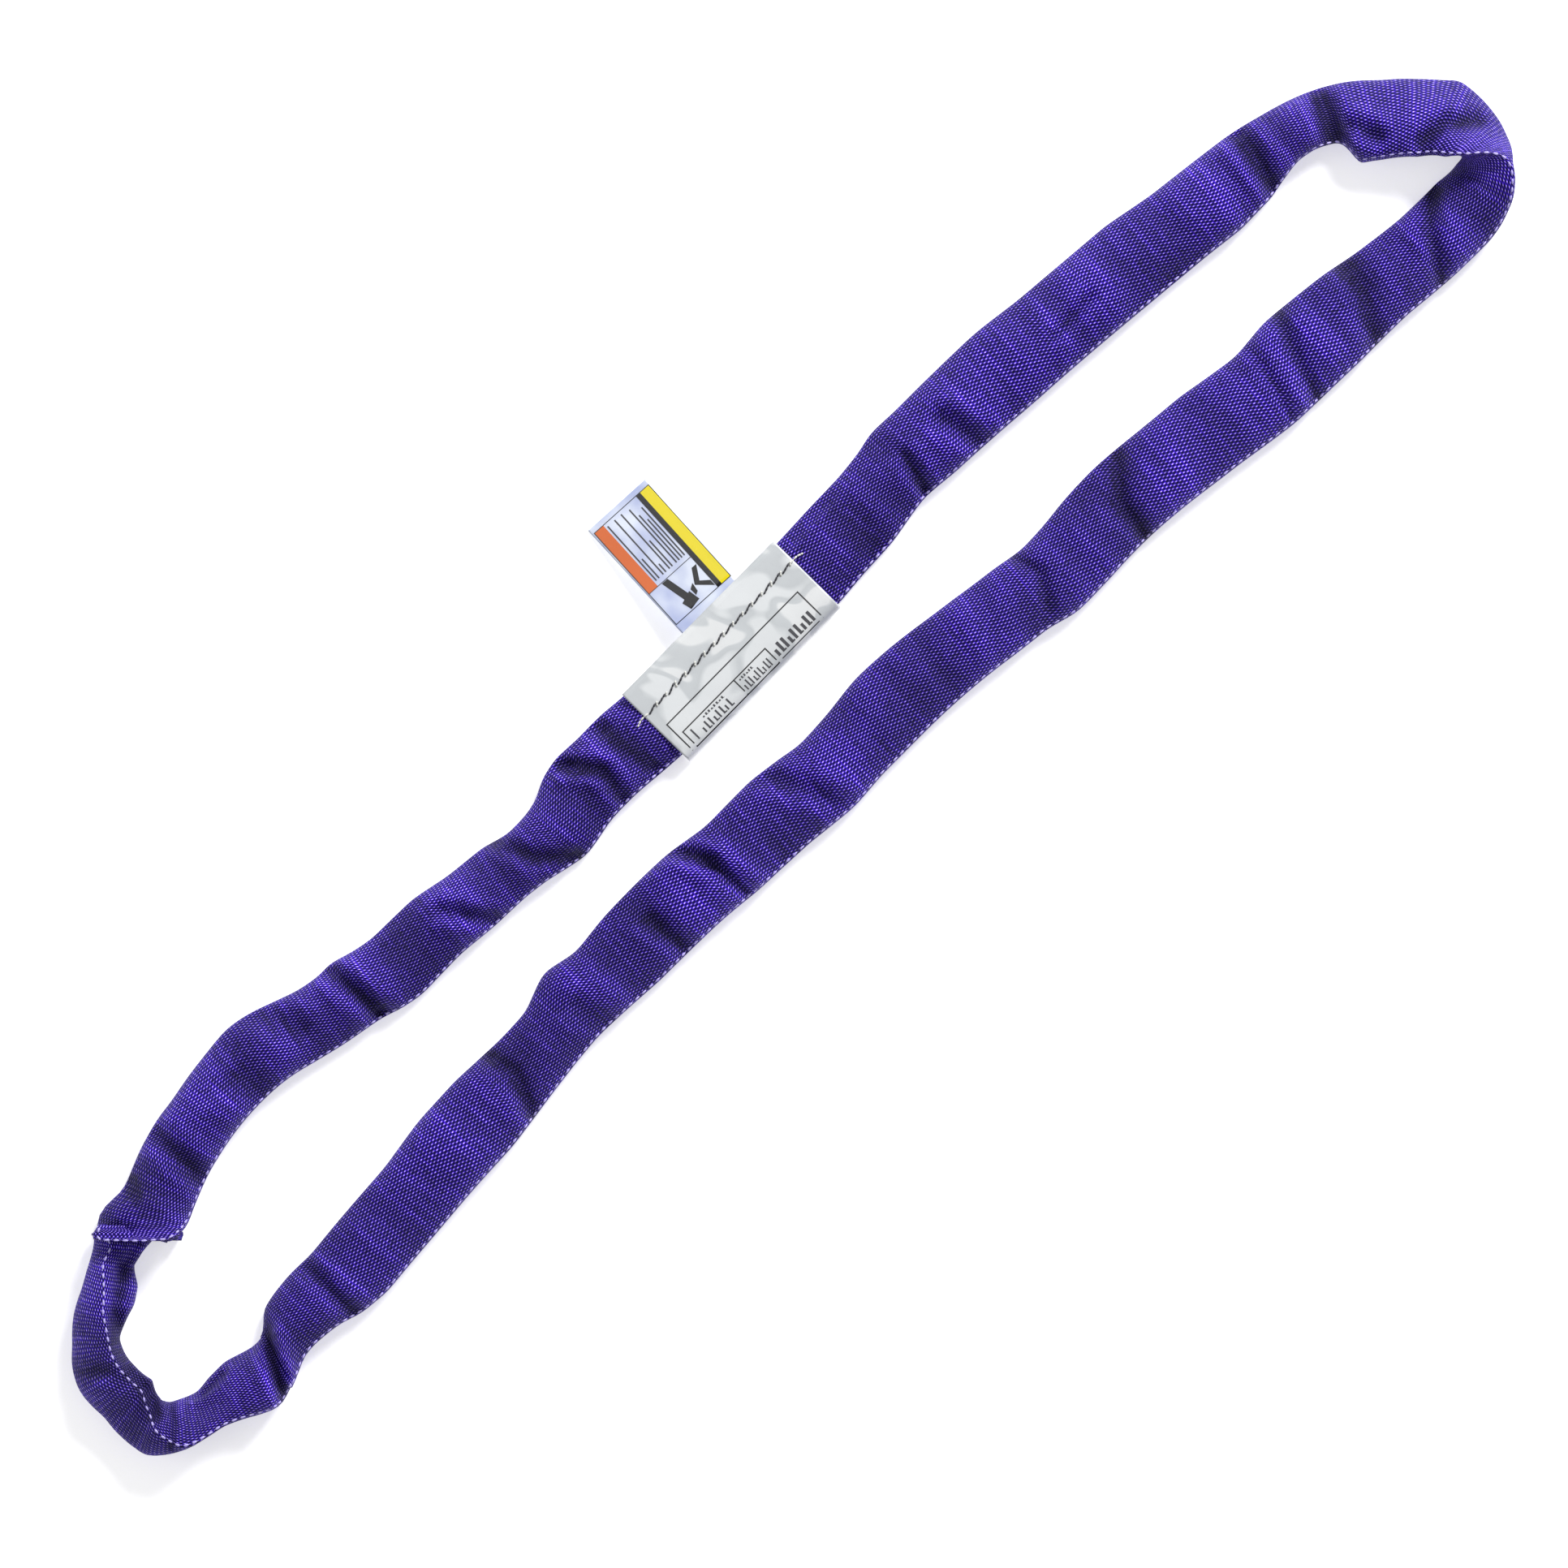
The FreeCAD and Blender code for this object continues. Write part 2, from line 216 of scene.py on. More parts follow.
# %% [markdown]
# ## From a line to rings
# The sleeve is a ring of cloth at each point of that line. Every ring needs to know how far along it is,
# which way is left, how far the two edges of the sleeve reach there, how high it is and how it is rolled.
# The edges are where the puckers show most, so they are given as two outlines in millimetres,
# and each ring looks up its own reach from them.

# %% Rings along the line
rings = line[:-1]                                   # the last point is the first again
along = np.concatenate([[0.0], np.cumsum(steps)])[:-1]
RING_COUNT = len(rings)
forward = np.roll(rings, -2, axis=0) - np.roll(rings, 2, axis=0)
forward[:, 2] = 0
forward /= np.linalg.norm(forward, axis=1)[:, None]
left = np.stack([-forward[:, 1], forward[:, 0]], axis=1)


def ease(values, spread):
    """Smooth a value that goes round the loop, over about this many metres."""
    spacing = SLEEVE_LENGTH / RING_COUNT
    reach = int(3 * spread / spacing) + 1
    weights = np.exp(-0.5 * (np.arange(-reach, reach + 1) * spacing / spread) ** 2)
    padded = np.concatenate([values[-reach:], values, values[:reach]])
    return np.convolve(padded, weights / weights.sum(), mode="valid")


def ring_near(x, y):
    """The ring nearest to a place seen from above, in millimetres."""
    gaps = rings[:, :2] - np.array([x, y]) * MM
    return int(np.argmin((gaps ** 2).sum(axis=1)))


def round_the_loop(stations, values):
    """Values at some stations, spread over every ring."""
    order = np.argsort(stations)
    return np.interp(along, np.array(stations)[order], np.array(values)[order], period=SLEEVE_LENGTH)


def reach_of(outline, side):
    """How far an edge of the sleeve lies from the line, at every ring."""
    stations, reaches = [], []
    for x, y in outline:
        ring = ring_near(x, y)
        stations.append(along[ring])
        reaches.append(side * float((np.array([x, y]) * MM - rings[ring, :2]) @ left[ring]))
    return ease(round_the_loop(stations, reaches), EDGE_EASE)


EDGE_EASE = 0.0028              # metres over which the outlines are smoothed
OUTER_EDGE = [
    (-6, 35.5), (59, 39.5), (80, 41.5), (101, 43), (116, 45.5), (126, 48.5), (142, 48.5), (193, 50.5),
    (219, 48.5), (271, 47), (296, 43.5), (338, 40.5), (358, 37), (378, 32), (390, 27), (399, 22), (412, 11.5),
    (425, 0.5), (433, -7.5), (439, -13), (440, -18.5), (441, -31.5), (440, -41), (436, -50.5), (429, -58),
    (425, -64.5), (419, -70.5), (408, -75.5), (399, -77.5), (374, -78.5), (348, -77.5), (317, -79),
    (276, -80), (245, -77), (219, -75), (193, -74), (157, -76.5), (142, -77.5), (126, -74), (90, -71.5),
    (44, -72), (23, -73), (5, -75.5), (-23, -74), (-54, -74.5), (-74, -73.5), (-116, -75), (-154, -75),
    (-172, -77.5), (-188, -80.5), (-219, -86.5), (-244, -89), (-270, -92.5), (-306, -97.5), (-322, -97),
    (-334, -94), (-347, -93), (-356, -94), (-378, -104), (-385, -102), (-396, -96.5), (-404, -93),
    (-414, -91.5), (-425, -89), (-433, -85), (-440, -79.5), (-442, -72), (-443, -53), (-444, -39.5),
    (-443, -34.5), (-439, -26), (-432, -18.5), (-422, -8.5), (-410, -1.5), (-400, 5), (-394, 9),
    (-389, 14), (-382, 19), (-374, 20), (-366, 19.5), (-347, 28.5), (-332, 33.5), (-322, 35), (-296, 40.5),
    (-280, 43), (-270, 41.5), (-244, 34), (-232, 32.5), (-224, 33.5), (-213, 30.5), (-203, 29), (-177, 30),
    (-157, 27), (-136, 26), (-123, 23), (-110, 24), (-103, 26), (-93, 31.5), (-83, 34), (-69, 34),
    (-54, 35), (-40, 34.5),
]
INNER_EDGE = [
    (-6, -3.5), (59, -1), (80, 2), (101, 4), (116, 7.5), (126, 9.5), (142, 8.5), (193, 8), (245, 7),
    (271, 6), (296, 5), (317, 3.5), (338, 5), (348, 7.5), (358, 9.5), (368, 8), (377, 3.5), (379, -1.5),
    (377, -10), (387, -16.5), (399, -26), (408, -34.5), (414, -40), (399, -41), (374, -42), (348, -40),
    (332, -37.5), (296, -35.5), (276, -38.5), (245, -35), (219, -34), (193, -33), (173, -34.5),
    (157, -37), (142, -38.5), (126, -36.5), (90, -33.5), (65, -31.5), (44, -31.5), (23, -35), (5, -37),
    (-7, -35.5), (-23, -34), (-54, -36), (-74, -33.5), (-95, -34), (-116, -35.5), (-136, -39), (-154, -36),
    (-162, -39), (-172, -44), (-188, -45.5), (-219, -46), (-244, -48.5), (-270, -54), (-306, -58.5),
    (-322, -61), (-334, -61), (-347, -63), (-356, -65.5), (-361, -73), (-370, -75), (-378, -73), (-385, -71),
    (-396, -71.5), (-404, -73), (-413, -69.5), (-417.5, -67), (-417, -60), (-414, -55), (-416, -45),
    (-416, -39), (-413, -30.5), (-406, -27), (-398, -24), (-391, -18.5), (-388, -12), (-386, -8), (-380, -7),
    (-373, -7.5), (-368, -12), (-361, -14), (-355, -13), (-347, -8.5), (-332, -1.5), (-322, 1.5),
    (-296, 6.5), (-280, 7), (-270, 6), (-244, 1), (-232, -0.5), (-224, -1.5), (-213, -4.5), (-203, -6),
    (-177, -4), (-157, -5), (-136, -4.5), (-123, -5.5), (-103, -9), (-93, -7), (-83, -4.5), (-69, -3.5),
    (-40, -4),
]
left_reach = reach_of(OUTER_EDGE, 1)
right_reach = reach_of(INNER_EDGE, -1)

HEIGHT_EASE = 0.006             # the same for the heights
SELVAGE_EASE = 0.0024           # and for the way the selvage faces


def along_loop(rows, spread):
    """The last value of each row, at its place x, y, spread smoothly over the rings."""
    stations = [along[ring_near(x, y)] for x, y, value in rows]
    return ease(round_the_loop(stations, [value for x, y, value in rows]), spread)


tall = along_loop(ROUTE[:-1] + MORE_HEIGHTS, HEIGHT_EASE) * MM
faces = np.radians(along_loop(SELVAGE, SELVAGE_EASE))
print(f"the sleeve is {1000 * (left_reach + right_reach).min():.0f} to "
      f"{1000 * (left_reach + right_reach).max():.0f} mm wide and up to {1000 * tall.max():.0f} mm high")

# %% [markdown]
# ## The section of the sleeve
# Cut across, the sleeve is a lens: two plies of cloth that meet at a folded edge on each side, with the core
# between them. Flat on the floor the lens is full and its under side is pressed flat. Standing on edge round
# the ends of the loop, it is slimmer and its top is a ridge. Each ring is that lens, rolled so that its
# selvage faces the right way, then stretched to reach the two edges and the height that belong to it.

# %% Rings of cloth
AROUND = 52
FULLNESS_FLAT = 0.86            # below 1 the lens has full shoulders
FULLNESS_ON_EDGE = 1.55         # above 1 it comes to a ridge
PRESSED_FLAT = 1.45             # how strongly the floor presses the under side
PRESSED_ON_EDGE = 1.05
THIN_SHARE = 0.36               # thickness of the lens, as a share of its width

turn = np.linspace(0, 2 * math.pi, AROUND, endpoint=False)
on_edge = np.sin(faces) ** 2
fullness = FULLNESS_FLAT + (FULLNESS_ON_EDGE - FULLNESS_FLAT) * on_edge
pressed = PRESSED_FLAT + (PRESSED_ON_EDGE - PRESSED_FLAT) * on_edge

wide_way = np.cos(turn)[None, :] * np.ones((RING_COUNT, 1))
thin_way = THIN_SHARE * np.sign(np.sin(turn)) * np.abs(np.sin(turn)) ** fullness[:, None]
across = np.cos(faces)[:, None] * wide_way - np.sin(faces)[:, None] * thin_way
upward = np.sin(faces)[:, None] * wide_way + np.cos(faces)[:, None] * thin_way


def share(values):
    """Each ring's values as a share of the way from its lowest to its highest."""
    low = values.min(axis=1, keepdims=True)
    return (values - low) / (values.max(axis=1, keepdims=True) - low)


across_share = share(across)
up_share = share(upward)
height = tall[:, None] * up_share ** pressed[:, None]

# %% [markdown]
# In two places the sleeve is pushed into itself like a cuff, so a wide stretch hides the end of a narrow one.
# The rings there first run ahead along the line and then fall back behind their own places, which is what
# makes cloth double over. Such a tuck seldom lies square across the sleeve, so it can lean. Every ring
# takes its reach from the outlines where it ends up, but the narrow end keeps the narrow reach.

# %% Tucks
LEAN_SPREAD = 3.2               # the lean fades out over this many times the tuck's spread
NARROW_SPREAD = 8               # and the narrow end keeps its reach over this many times the spread
TUCKS = [  # x, y, run ahead, spread, lean, and how far back the narrow end's reach is taken (0: it isn't)
    (-375.5, 2, 9.0, 6.0, -0.60, 10.0),
    (-366, -86, 5.5, 6.0, 0.28, 0.0),
]
ahead = np.zeros(RING_COUNT)
lean = np.zeros(RING_COUNT)
narrow_end = np.full(RING_COUNT, np.inf)
for x, y, run_ahead, spread, tuck_lean, to_narrow_end in TUCKS:
    middle = along[ring_near(x, y)]
    from_tuck = (along - middle) / (spread * MM)
    ahead -= run_ahead * MM * from_tuck * np.exp(0.5 - from_tuck ** 2 / 2)
    lean += tuck_lean * np.exp(-(from_tuck / LEAN_SPREAD) ** 2)
    if to_narrow_end:
        narrow_end[(from_tuck < 0) & (from_tuck > -NARROW_SPREAD)] = middle - to_narrow_end * MM


def reach_where_it_lies(reaches, side):
    """An edge's reach at the place where each ring ends up. The place depends on the reach, so both are
    worked out a few times over."""
    own = reaches
    for attempt in range(5):
        lies_at = np.minimum(along + ahead + side * lean * own, narrow_end)
        own = np.interp(lies_at, along, reaches, period=SLEEVE_LENGTH)
    return own


left_reach = reach_where_it_lies(left_reach, 1)
right_reach = reach_where_it_lies(right_reach, -1)
reach = -right_reach[:, None] + across_share * (left_reach + right_reach)[:, None]

cloth = np.zeros((RING_COUNT, AROUND, 3))
cloth[:, :, :2] = rings[:, None, :2] + reach[:, :, None] * left[:, None, :]
cloth[:, :, :2] += (ahead[:, None] + lean[:, None] * reach)[:, :, None] * forward[:, None, :2]
cloth[:, :, 2] = height

# %% [markdown]
# ## Puckers and creases
# The sleeve is longer than its core, so the cloth gathers. Some gathers cross the whole sleeve, some only
# half of it, and they lean. Each is given as a line from one edge towards the other, with a depth and
# a width. The cloth sinks along the line and rises in a soft welt on both sides of it. Gathers that bend are
# valleys without welts, and they run on down the walls. Fine waves from a noise make the rest of the cloth
# less perfect. The label holds its stretch of cloth flat, and nowhere does the cloth sink into the yarns.

# %% Creases
CREASES = [  # from x, y, to x, y, depth, half width
    (-337, 29, -335, -5, 3.9, 5.0),
    (-292, 24, -288, 5, 3.0, 8.0),
    (-264, 40, -255, 18, 3.0, 6.0),
    (-227, 34, -222, -4, 5.1, 4.2),
    (-170, 17, -154, -4, 3.3, 3.6),
    (-84, 30, -71, 15, 3.6, 3.4),
    (-71, 15, -73, -5, 3.6, 3.4),
    (-60, 34, -51, -3, 3.0, 4.6),
    (88, 40, 92, 6, 2.1, 7.0),
    (131, 30, 127, 9, 3.6, 3.2),
    (155, 32, 162, 8, 3.9, 5.0),
    (218, 24, 243, 26.5, 2.55, 2.6),
    (345, 42, 341, 4, 4.5, 4.6),
    (386, 28, 376, 5, 4.8, 5.6),
    (386, 5, 392, -8, 3.6, 4.0),
    (-362, -74, -375, -103, 6.3, 3.4),
    (-327, -60, -324, -94, 3.3, 3.8),
    (-151, -56, -147, -76, 3.0, 6.0),
    (-101, -50, -97, -75, 3.3, 4.4),
    (-71, -34, -62, -50, 4.8, 3.6),
    (-62, -50, -58, -75, 4.8, 3.6),
    (-16, -38, 3, -73, 2.7, 4.6),
    (283, -38, 276, -80, 2.1, 2.6),
]
VALLEYS = [  # depth, half width and the points of a crease that bends
    (5.1, 4.0, [(304, -37), (296, -53), (291, -77)]),
    (4.2, 5.6, [(341, -38), (339, -54), (328, -79)]),
    (5.1, 4.2, [(396, -43), (381, -54), (370, -76)]),
    (4.8, 4.4, [(404, -22), (419, -24), (431, -33)]),
    (5.7, 3.8, [(-391, -9), (-406, -21), (-415, -34), (-418, -46), (-419, -57), (-424, -67)]),
    (3.0, 2.0, [(-403, -76), (-389, -75)]),
    (2.4, 2.0, [(-415, -66), (-419, -76), (-428, -84)]),
    (3.0, 4.2, [(-437, -29), (-429, -36), (-423, -46)]),
    (4.2, 3.8, [(-131, 25), (-121, 5), (-106, -7)]),
    (4.5, 3.8, [(-200, -44), (-195, -61), (-202, -82)]),
    (3.9, 4.0, [(204, -36), (190, -53), (189, -74)]),
    (3.6, 3.2, [(137, -38), (141, -52), (133, -67)]),
    (3.0, 3.4, [(-360, 22), (-366, 8), (-362, -4)]),
]
WELT = 0.45                     # height of the welts beside a crease, as a share of its depth
WELT_AT, WELT_HALF = 1.9, 0.85  # where a welt lies and its half width, in the crease's half widths
CREASE_FADE = 3.0               # mm over which a crease fades past its ends


def smooth_step(value, low, high):
    """0 below low, 1 above high, and an easy curve between."""
    part = np.clip((value - low) / (high - low), 0, 1)
    return part * part * (3 - 2 * part)


def crease_depth(places, crease):
    """How far the cloth sinks at places seen from above, in metres, for one crease."""
    x1, y1, x2, y2, depth, half_width = [v * MM for v in crease]
    start = np.array([x1, y1])
    run = np.array([x2, y2]) - start
    length = np.linalg.norm(run)
    run /= length
    from_start = places - start
    lengthwise = from_start @ run
    sideways = np.abs(from_start @ np.array([-run[1], run[0]]))
    past_end = np.maximum(0, np.maximum(-lengthwise, lengthwise - length))
    groove = np.exp(-(sideways / half_width) ** 2)
    welt = WELT * np.exp(-((sideways - WELT_AT * half_width) / (WELT_HALF * half_width)) ** 2)
    return depth * (groove - welt) * np.exp(-(past_end / (CREASE_FADE * MM)) ** 2)


def valley_depth(places, depth, half_width, route):
    """The same for a crease that bends, which has no welts."""
    corners = np.array(route) * MM
    gaps = []
    for start, end in zip(corners, corners[1:]):
        run = end - start
        part = np.clip((places - start) @ run / (run @ run), 0, 1)
        gaps.append(np.linalg.norm(places - start - part[:, :, None] * run, axis=2))
    return depth * MM * np.exp(-(np.min(gaps, axis=0) / (half_width * MM)) ** 2)


top_share = smooth_step(height / tall[:, None], 0.3, 0.85)      # 0 low down, 1 on the sleeve's upper side
for crease in CREASES:
    cloth[:, :, 2] -= top_share * crease_depth(cloth[:, :, :2], crease)
wall_share = smooth_step(height / tall[:, None], 0.1, 0.5)      # the same with most of the walls in it
for valley in VALLEYS:
    cloth[:, :, 2] -= wall_share * valley_depth(cloth[:, :, :2], *valley)

# %% Fine waves
WAVES = [  # size along the sleeve, size across it, height, all in mm
    (26, 55, 3.4),
    (11, 30, 1.5),
    (5, 14, 0.35),
]
LABEL_MIDDLE_X = 10.5 * MM
HELD_FLAT, FREE = 0.048, 0.064                      # distances from the middle of the label
OTHER_LEG_Y = -20 * MM                              # the other leg lies below this, clear of the label
hollow = cloth[:, :, 2] - height                    # how far creases and waves move the cloth up or down
for size_along, size_across, rise in WAVES:
    for i in range(RING_COUNT):
        for j in range(AROUND):
            spot = (along[i] / (size_along * MM), reach[i, j] / (size_across * MM), rise)
            hollow[i, j] += top_share[i, j] * noise.noise(Vector(spot)) * rise * MM
free_share = smooth_step(np.abs(cloth[:, :, 0] - LABEL_MIDDLE_X), HELD_FLAT, FREE)
hollow *= np.where(cloth[:, :, 1] < OTHER_LEG_Y, 1, free_share)
cloth[:, :, 2] = height + hollow

# %% Cloth on the yarns
CORE_TOP = 11.3 * MM
CORE_REACH = 9.5 * MM           # half the width of the bundle of yarns
CORE_SOFTNESS = 0.9 * MM        # how softly the cloth comes to rest on them
over_core = top_share * smooth_step(-np.abs(reach), -1.5 * CORE_REACH, -CORE_REACH)
sunk = cloth[:, :, 2]
held_up = CORE_TOP + CORE_SOFTNESS * np.logaddexp(0, (sunk - CORE_TOP) / CORE_SOFTNESS)
cloth[:, :, 2] = np.maximum(sunk + over_core * (held_up - sunk), 0)
print(f"the cloth is up to {1000 * cloth[:, :, 2].max():.1f} mm high")

# %% [markdown]
# ## Room for the core
# Round the ends of the loop the sleeve stands on edge, and its narrow foot would cut through the yarns in it.
# So the cloth is pushed out until it clears them. Each ring cuts the yarns' CAD shapes with its own plane and
# measures the cut from many sides, which gives its convex hull. Cloth inside the hull moves straight away
# from its middle, and the push fades out along the sleeve.

# %% Room for the core
ROOM = 1.9 * MM                 # from the yarns to the cloth
BESIDE = 19 * MM                # yarns further to the side belong to the other leg
NEARBY = 3 * BESIDE             # and those further off can't be cut at all
SIDES = 48
GRAZING = 0.02                  # a side of the hull that hardly faces the cloth counts as this much
PUSH_FADE = 0.003
NUDGE = 1e-9                    # so that a ring at its own place finds itself

yarn_edges = []
for name, node in nodes.items():
    if name.startswith("core"):
        corners = np.array([node.matrix_world @ vertex.co for vertex in node.data.vertices])
        ends = np.array([edge.vertices[:] for edge in node.data.edges])
        yarn_edges.append(corners[ends])
yarn_edges = np.concatenate(yarn_edges)
edge_x, edge_y = yarn_edges[:, :, :2].mean(axis=1).T.copy()

compass = np.linspace(0, 2 * math.pi, SIDES, endpoint=False)
sides = np.stack([np.cos(compass), np.sin(compass)])
core_middle = np.zeros((RING_COUNT, 2))
core_hull = np.zeros((RING_COUNT, SIDES))
for ring in range(RING_COUNT):
    near = (np.abs(edge_x - rings[ring, 0]) < NEARBY) & (np.abs(edge_y - rings[ring, 1]) < NEARBY)
    start, end = yarn_edges[near, 0], yarn_edges[near, 1]
    start_ahead, end_ahead = (start - rings[ring]) @ forward[ring], (end - rings[ring]) @ forward[ring]
    cut = start_ahead * end_ahead < 0
    part = (start_ahead[cut] / (start_ahead[cut] - end_ahead[cut]))[:, None]
    places = start[cut] + part * (end[cut] - start[cut])
    section = np.stack([(places[:, :2] - rings[ring, :2]) @ left[ring], places[:, 2]], axis=1)
    section = section[np.abs(section[:, 0]) < BESIDE]
    core_middle[ring] = (section.max(axis=0) + section.min(axis=0)) / 2
    core_hull[ring] = ((section - core_middle[ring]) @ sides).max(axis=0) + ROOM

lies_at = (along[:, None] + ahead[:, None] + lean[:, None] * reach) % SLEEVE_LENGTH
beside = np.searchsorted(along, lies_at - NUDGE) % RING_COUNT
offset = cloth[:, :, :2] - rings[beside, :2]
onward = (offset * forward[beside, :2]).sum(axis=2)
section = np.stack([(offset * left[beside]).sum(axis=2), cloth[:, :, 2]], axis=2) - core_middle[beside]
distance = np.linalg.norm(section, axis=2)
facing = np.maximum((section / distance[:, :, None]) @ sides, GRAZING)
push = np.maximum((core_hull[beside] / facing).min(axis=2) / distance - 1, 0)
push = np.maximum(push, np.stack([ease(column, PUSH_FADE) for column in push.T], axis=1))
section = core_middle[beside] + section * (1 + push)[:, :, None]
cloth[:, :, :2] = (rings[beside, :2] + section[:, :, :1] * left[beside]
                   + onward[:, :, None] * forward[beside, :2])
cloth[:, :, 2] = np.maximum(section[:, :, 1], 0)
print(f"the core pushes {int((push > 0.001).sum())} of {push.size} points of the cloth, "
      f"up to {1000 * float((push * distance).max()):.1f} mm")

# %% Sleeve mesh
GIRTH = 0.084                   # once round the woven tube


def grid_faces(rows, columns, rows_closed, columns_closed):
    """The four corners of every face of a grid that may be closed either way."""
    last_row = rows if rows_closed else rows - 1
    last_column = columns if columns_closed else columns - 1
    return [(i * columns + j,
             i * columns + (j + 1) % columns,
             (i + 1) % rows * columns + (j + 1) % columns,
             (i + 1) % rows * columns + j)
            for i in range(last_row) for j in range(last_column)]


def grid_piece(name, points, material, closed=(False, False)):
    """A piece made from rows of points, with its place in its mesh."""
    rows, columns = points.shape[:2]
    mesh = bpy.data.meshes.new(name)
    mesh.from_pydata(points.reshape(-1, 3).tolist(), [], grid_faces(rows, columns, *closed))
    mesh.validate()
    mesh.polygons.foreach_set("use_smooth", [True] * len(mesh.polygons))
    piece = bpy.data.objects.new(name, mesh)
    piece.data.materials.append(material)
    bpy.context.collection.objects.link(piece)
    return piece


def lay_uv(piece, across_at, along_at):
    """Give a closed grid a UV map in metres. The two tables have one more row and column than the grid."""
    values = []
    for i in range(across_at.shape[0] - 1):
        for j in range(across_at.shape[1] - 1):
            for row, column in ((i, j), (i, j + 1), (i + 1, j + 1), (i + 1, j)):
                values += [across_at[row, column], along_at[row, column]]
    piece.data.uv_layers.new(name="cloth").data.foreach_set("uv", values)


# %% [markdown]
# ## Woven polyester
# The sleeve is a plain weave of bright, flat polyester yarns, dyed violet. Close to, each yarn that passes
# over the others is a small light dash that lies along the sleeve, and the gaps between are nearly black. The
# light of each dash is a painted highlight and the black of the gaps is painted shade, laid over the violet.
# In a plain weave every other dash is shifted by half a step, and the product of two cosines has just that
# pattern: hills like the squares of one colour on a chess board. The same hills push the bump. Real yarns
# may be finer: these are as coarse as they need to be to show. Four things then shade them. No two yarns
# shine alike, which gives flecks. Here and there a row is drawn tighter and catches the light as a pale
# streak across the sleeve. In broad, random patches the cloth is a little lighter or darker. And where the
# cloth is gathered into a hollow, shade is painted into its colour, and a little light where it rises into a
# welt, so the mesh carries an attribute that says how far down or up each point is moved, in millimetres.

# %% Woven polyester
ROW_STEP = 3.5 * MM             # from one row of dashes to the next but one, along the sleeve
YARN_STEP = 1.55 * MM           # the same across it
WOBBLE = 2.2                    # how far the rows wander, where 6.28 is a whole step

sleeve_material, tree, shader = new_material("woven_violet_polyester", [
    ("Roughness", 0.6), ("Specular IOR Level", 0.2), ("Sheen Weight", 0.06), ("Sheen Roughness", 0.4),
    ("Sheen Tint", linear("#A99BFF"))])
place = add(tree, "ShaderNodeUVMap", uv_map="cloth")
split = add(tree, "ShaderNodeSeparateXYZ", [("Vector", place.outputs["UV"])])
wobble = add(tree, "ShaderNodeTexNoise", [("Vector", place.outputs["UV"]), ("Scale", 120.0), ("Detail", 2.0)])
wobble_size = add(tree, "ShaderNodeMath", [(0, wobble.outputs["Fac"]), (1, WOBBLE)], operation="MULTIPLY")


def cosine_wave(distance, step, shift=None):
    """A cosine that repeats every step of a distance in metres."""
    phase = add(tree, "ShaderNodeMath", [(0, distance), (1, math.tau / step)], operation="MULTIPLY")
    if shift is not None:
        phase = add(tree, "ShaderNodeMath", [(0, phase.outputs[0]), (1, shift)], operation="ADD")
    return add(tree, "ShaderNodeMath", [(0, phase.outputs[0])], operation="COSINE").outputs[0]


rows_wave = cosine_wave(split.outputs["Y"], ROW_STEP, wobble_size.outputs[0])
yarn_wave = cosine_wave(split.outputs["X"], YARN_STEP)
weave = add(tree, "ShaderNodeMath", [(0, rows_wave), (1, yarn_wave)], operation="MULTIPLY")
weave_share = add(tree, "ShaderNodeMapRange", [("Value", weave.outputs[0]), ("From Min", -1.0)])
# Painted highlight and shade: the ramp runs from near black in the gaps to pale lilac on the crown of each
# yarn.
colour = add(tree, "ShaderNodeValToRGB", [("Fac", weave_share.outputs["Result"])],
             stops=[(0.0, "#030028"), (0.38, "#13005E"), (0.62, "#2D08A0"), (0.82, "#5E38DE"),
                    (1.0, "#CDB8FF")]).outputs["Color"]

# The UV map is in metres, so a scale of 480 gives flecks of 2 mm, and 34 gives patches of 30 mm.
flecks = add(tree, "ShaderNodeTexNoise", [("Vector", place.outputs["UV"]), ("Scale", 480.0), ("Detail", 1.0)])
drawn_out = add(tree, "ShaderNodeMapping", [("Vector", place.outputs["UV"]), ("Scale", (26.0, 330.0, 1.0))])
streaks = add(tree, "ShaderNodeTexNoise",
              [("Vector", drawn_out.outputs["Vector"]), ("Scale", 1.0), ("Detail", 1.0)])
patches = add(tree, "ShaderNodeTexNoise", [("Vector", place.outputs["UV"]), ("Scale", 34.0), ("Detail", 2.0)])
# Painted shade: this attribute darkens the cloth in its hollows, and painted light brightens it a little
# where it rises.
painted_crease_shade = add(tree, "ShaderNodeAttribute", attribute_name="crease_shade_depth")
SHADES = [  # what shades the yarns, its low and high value, and the brightness at each
    (flecks, 0.3, 0.7, 0.62, 1.38),
    (streaks, 0.5, 0.8, 0.95, 1.75),
    (patches, 0.35, 0.7, 0.82, 1.12),
    # painted shade in the hollows, painted light on the welts
    (painted_crease_shade, -4.2, 1.6, 0.28, 1.18),
]
for pattern, low, high, dark, bright in SHADES:
    brightness = add(tree, "ShaderNodeMapRange",
                     [("Value", pattern.outputs["Fac"]), ("From Min", low), ("From Max", high),
                      ("To Min", dark), ("To Max", bright)])
    shaded = add(tree, "ShaderNodeMix", [("Factor", 1.0), (6, colour), (7, brightness.outputs["Result"])],
                 data_type="RGBA", blend_type="MULTIPLY")
    colour = shaded.outputs[2]
tree.links.new(colour, shader.inputs["Base Color"])

weave_bump = add(tree, "ShaderNodeBump",
                 [("Height", weave_share.outputs["Result"]), ("Strength", 1.0), ("Distance", 0.6 * MM)])
tree.links.new(weave_bump.outputs["Normal"], shader.inputs["Normal"])

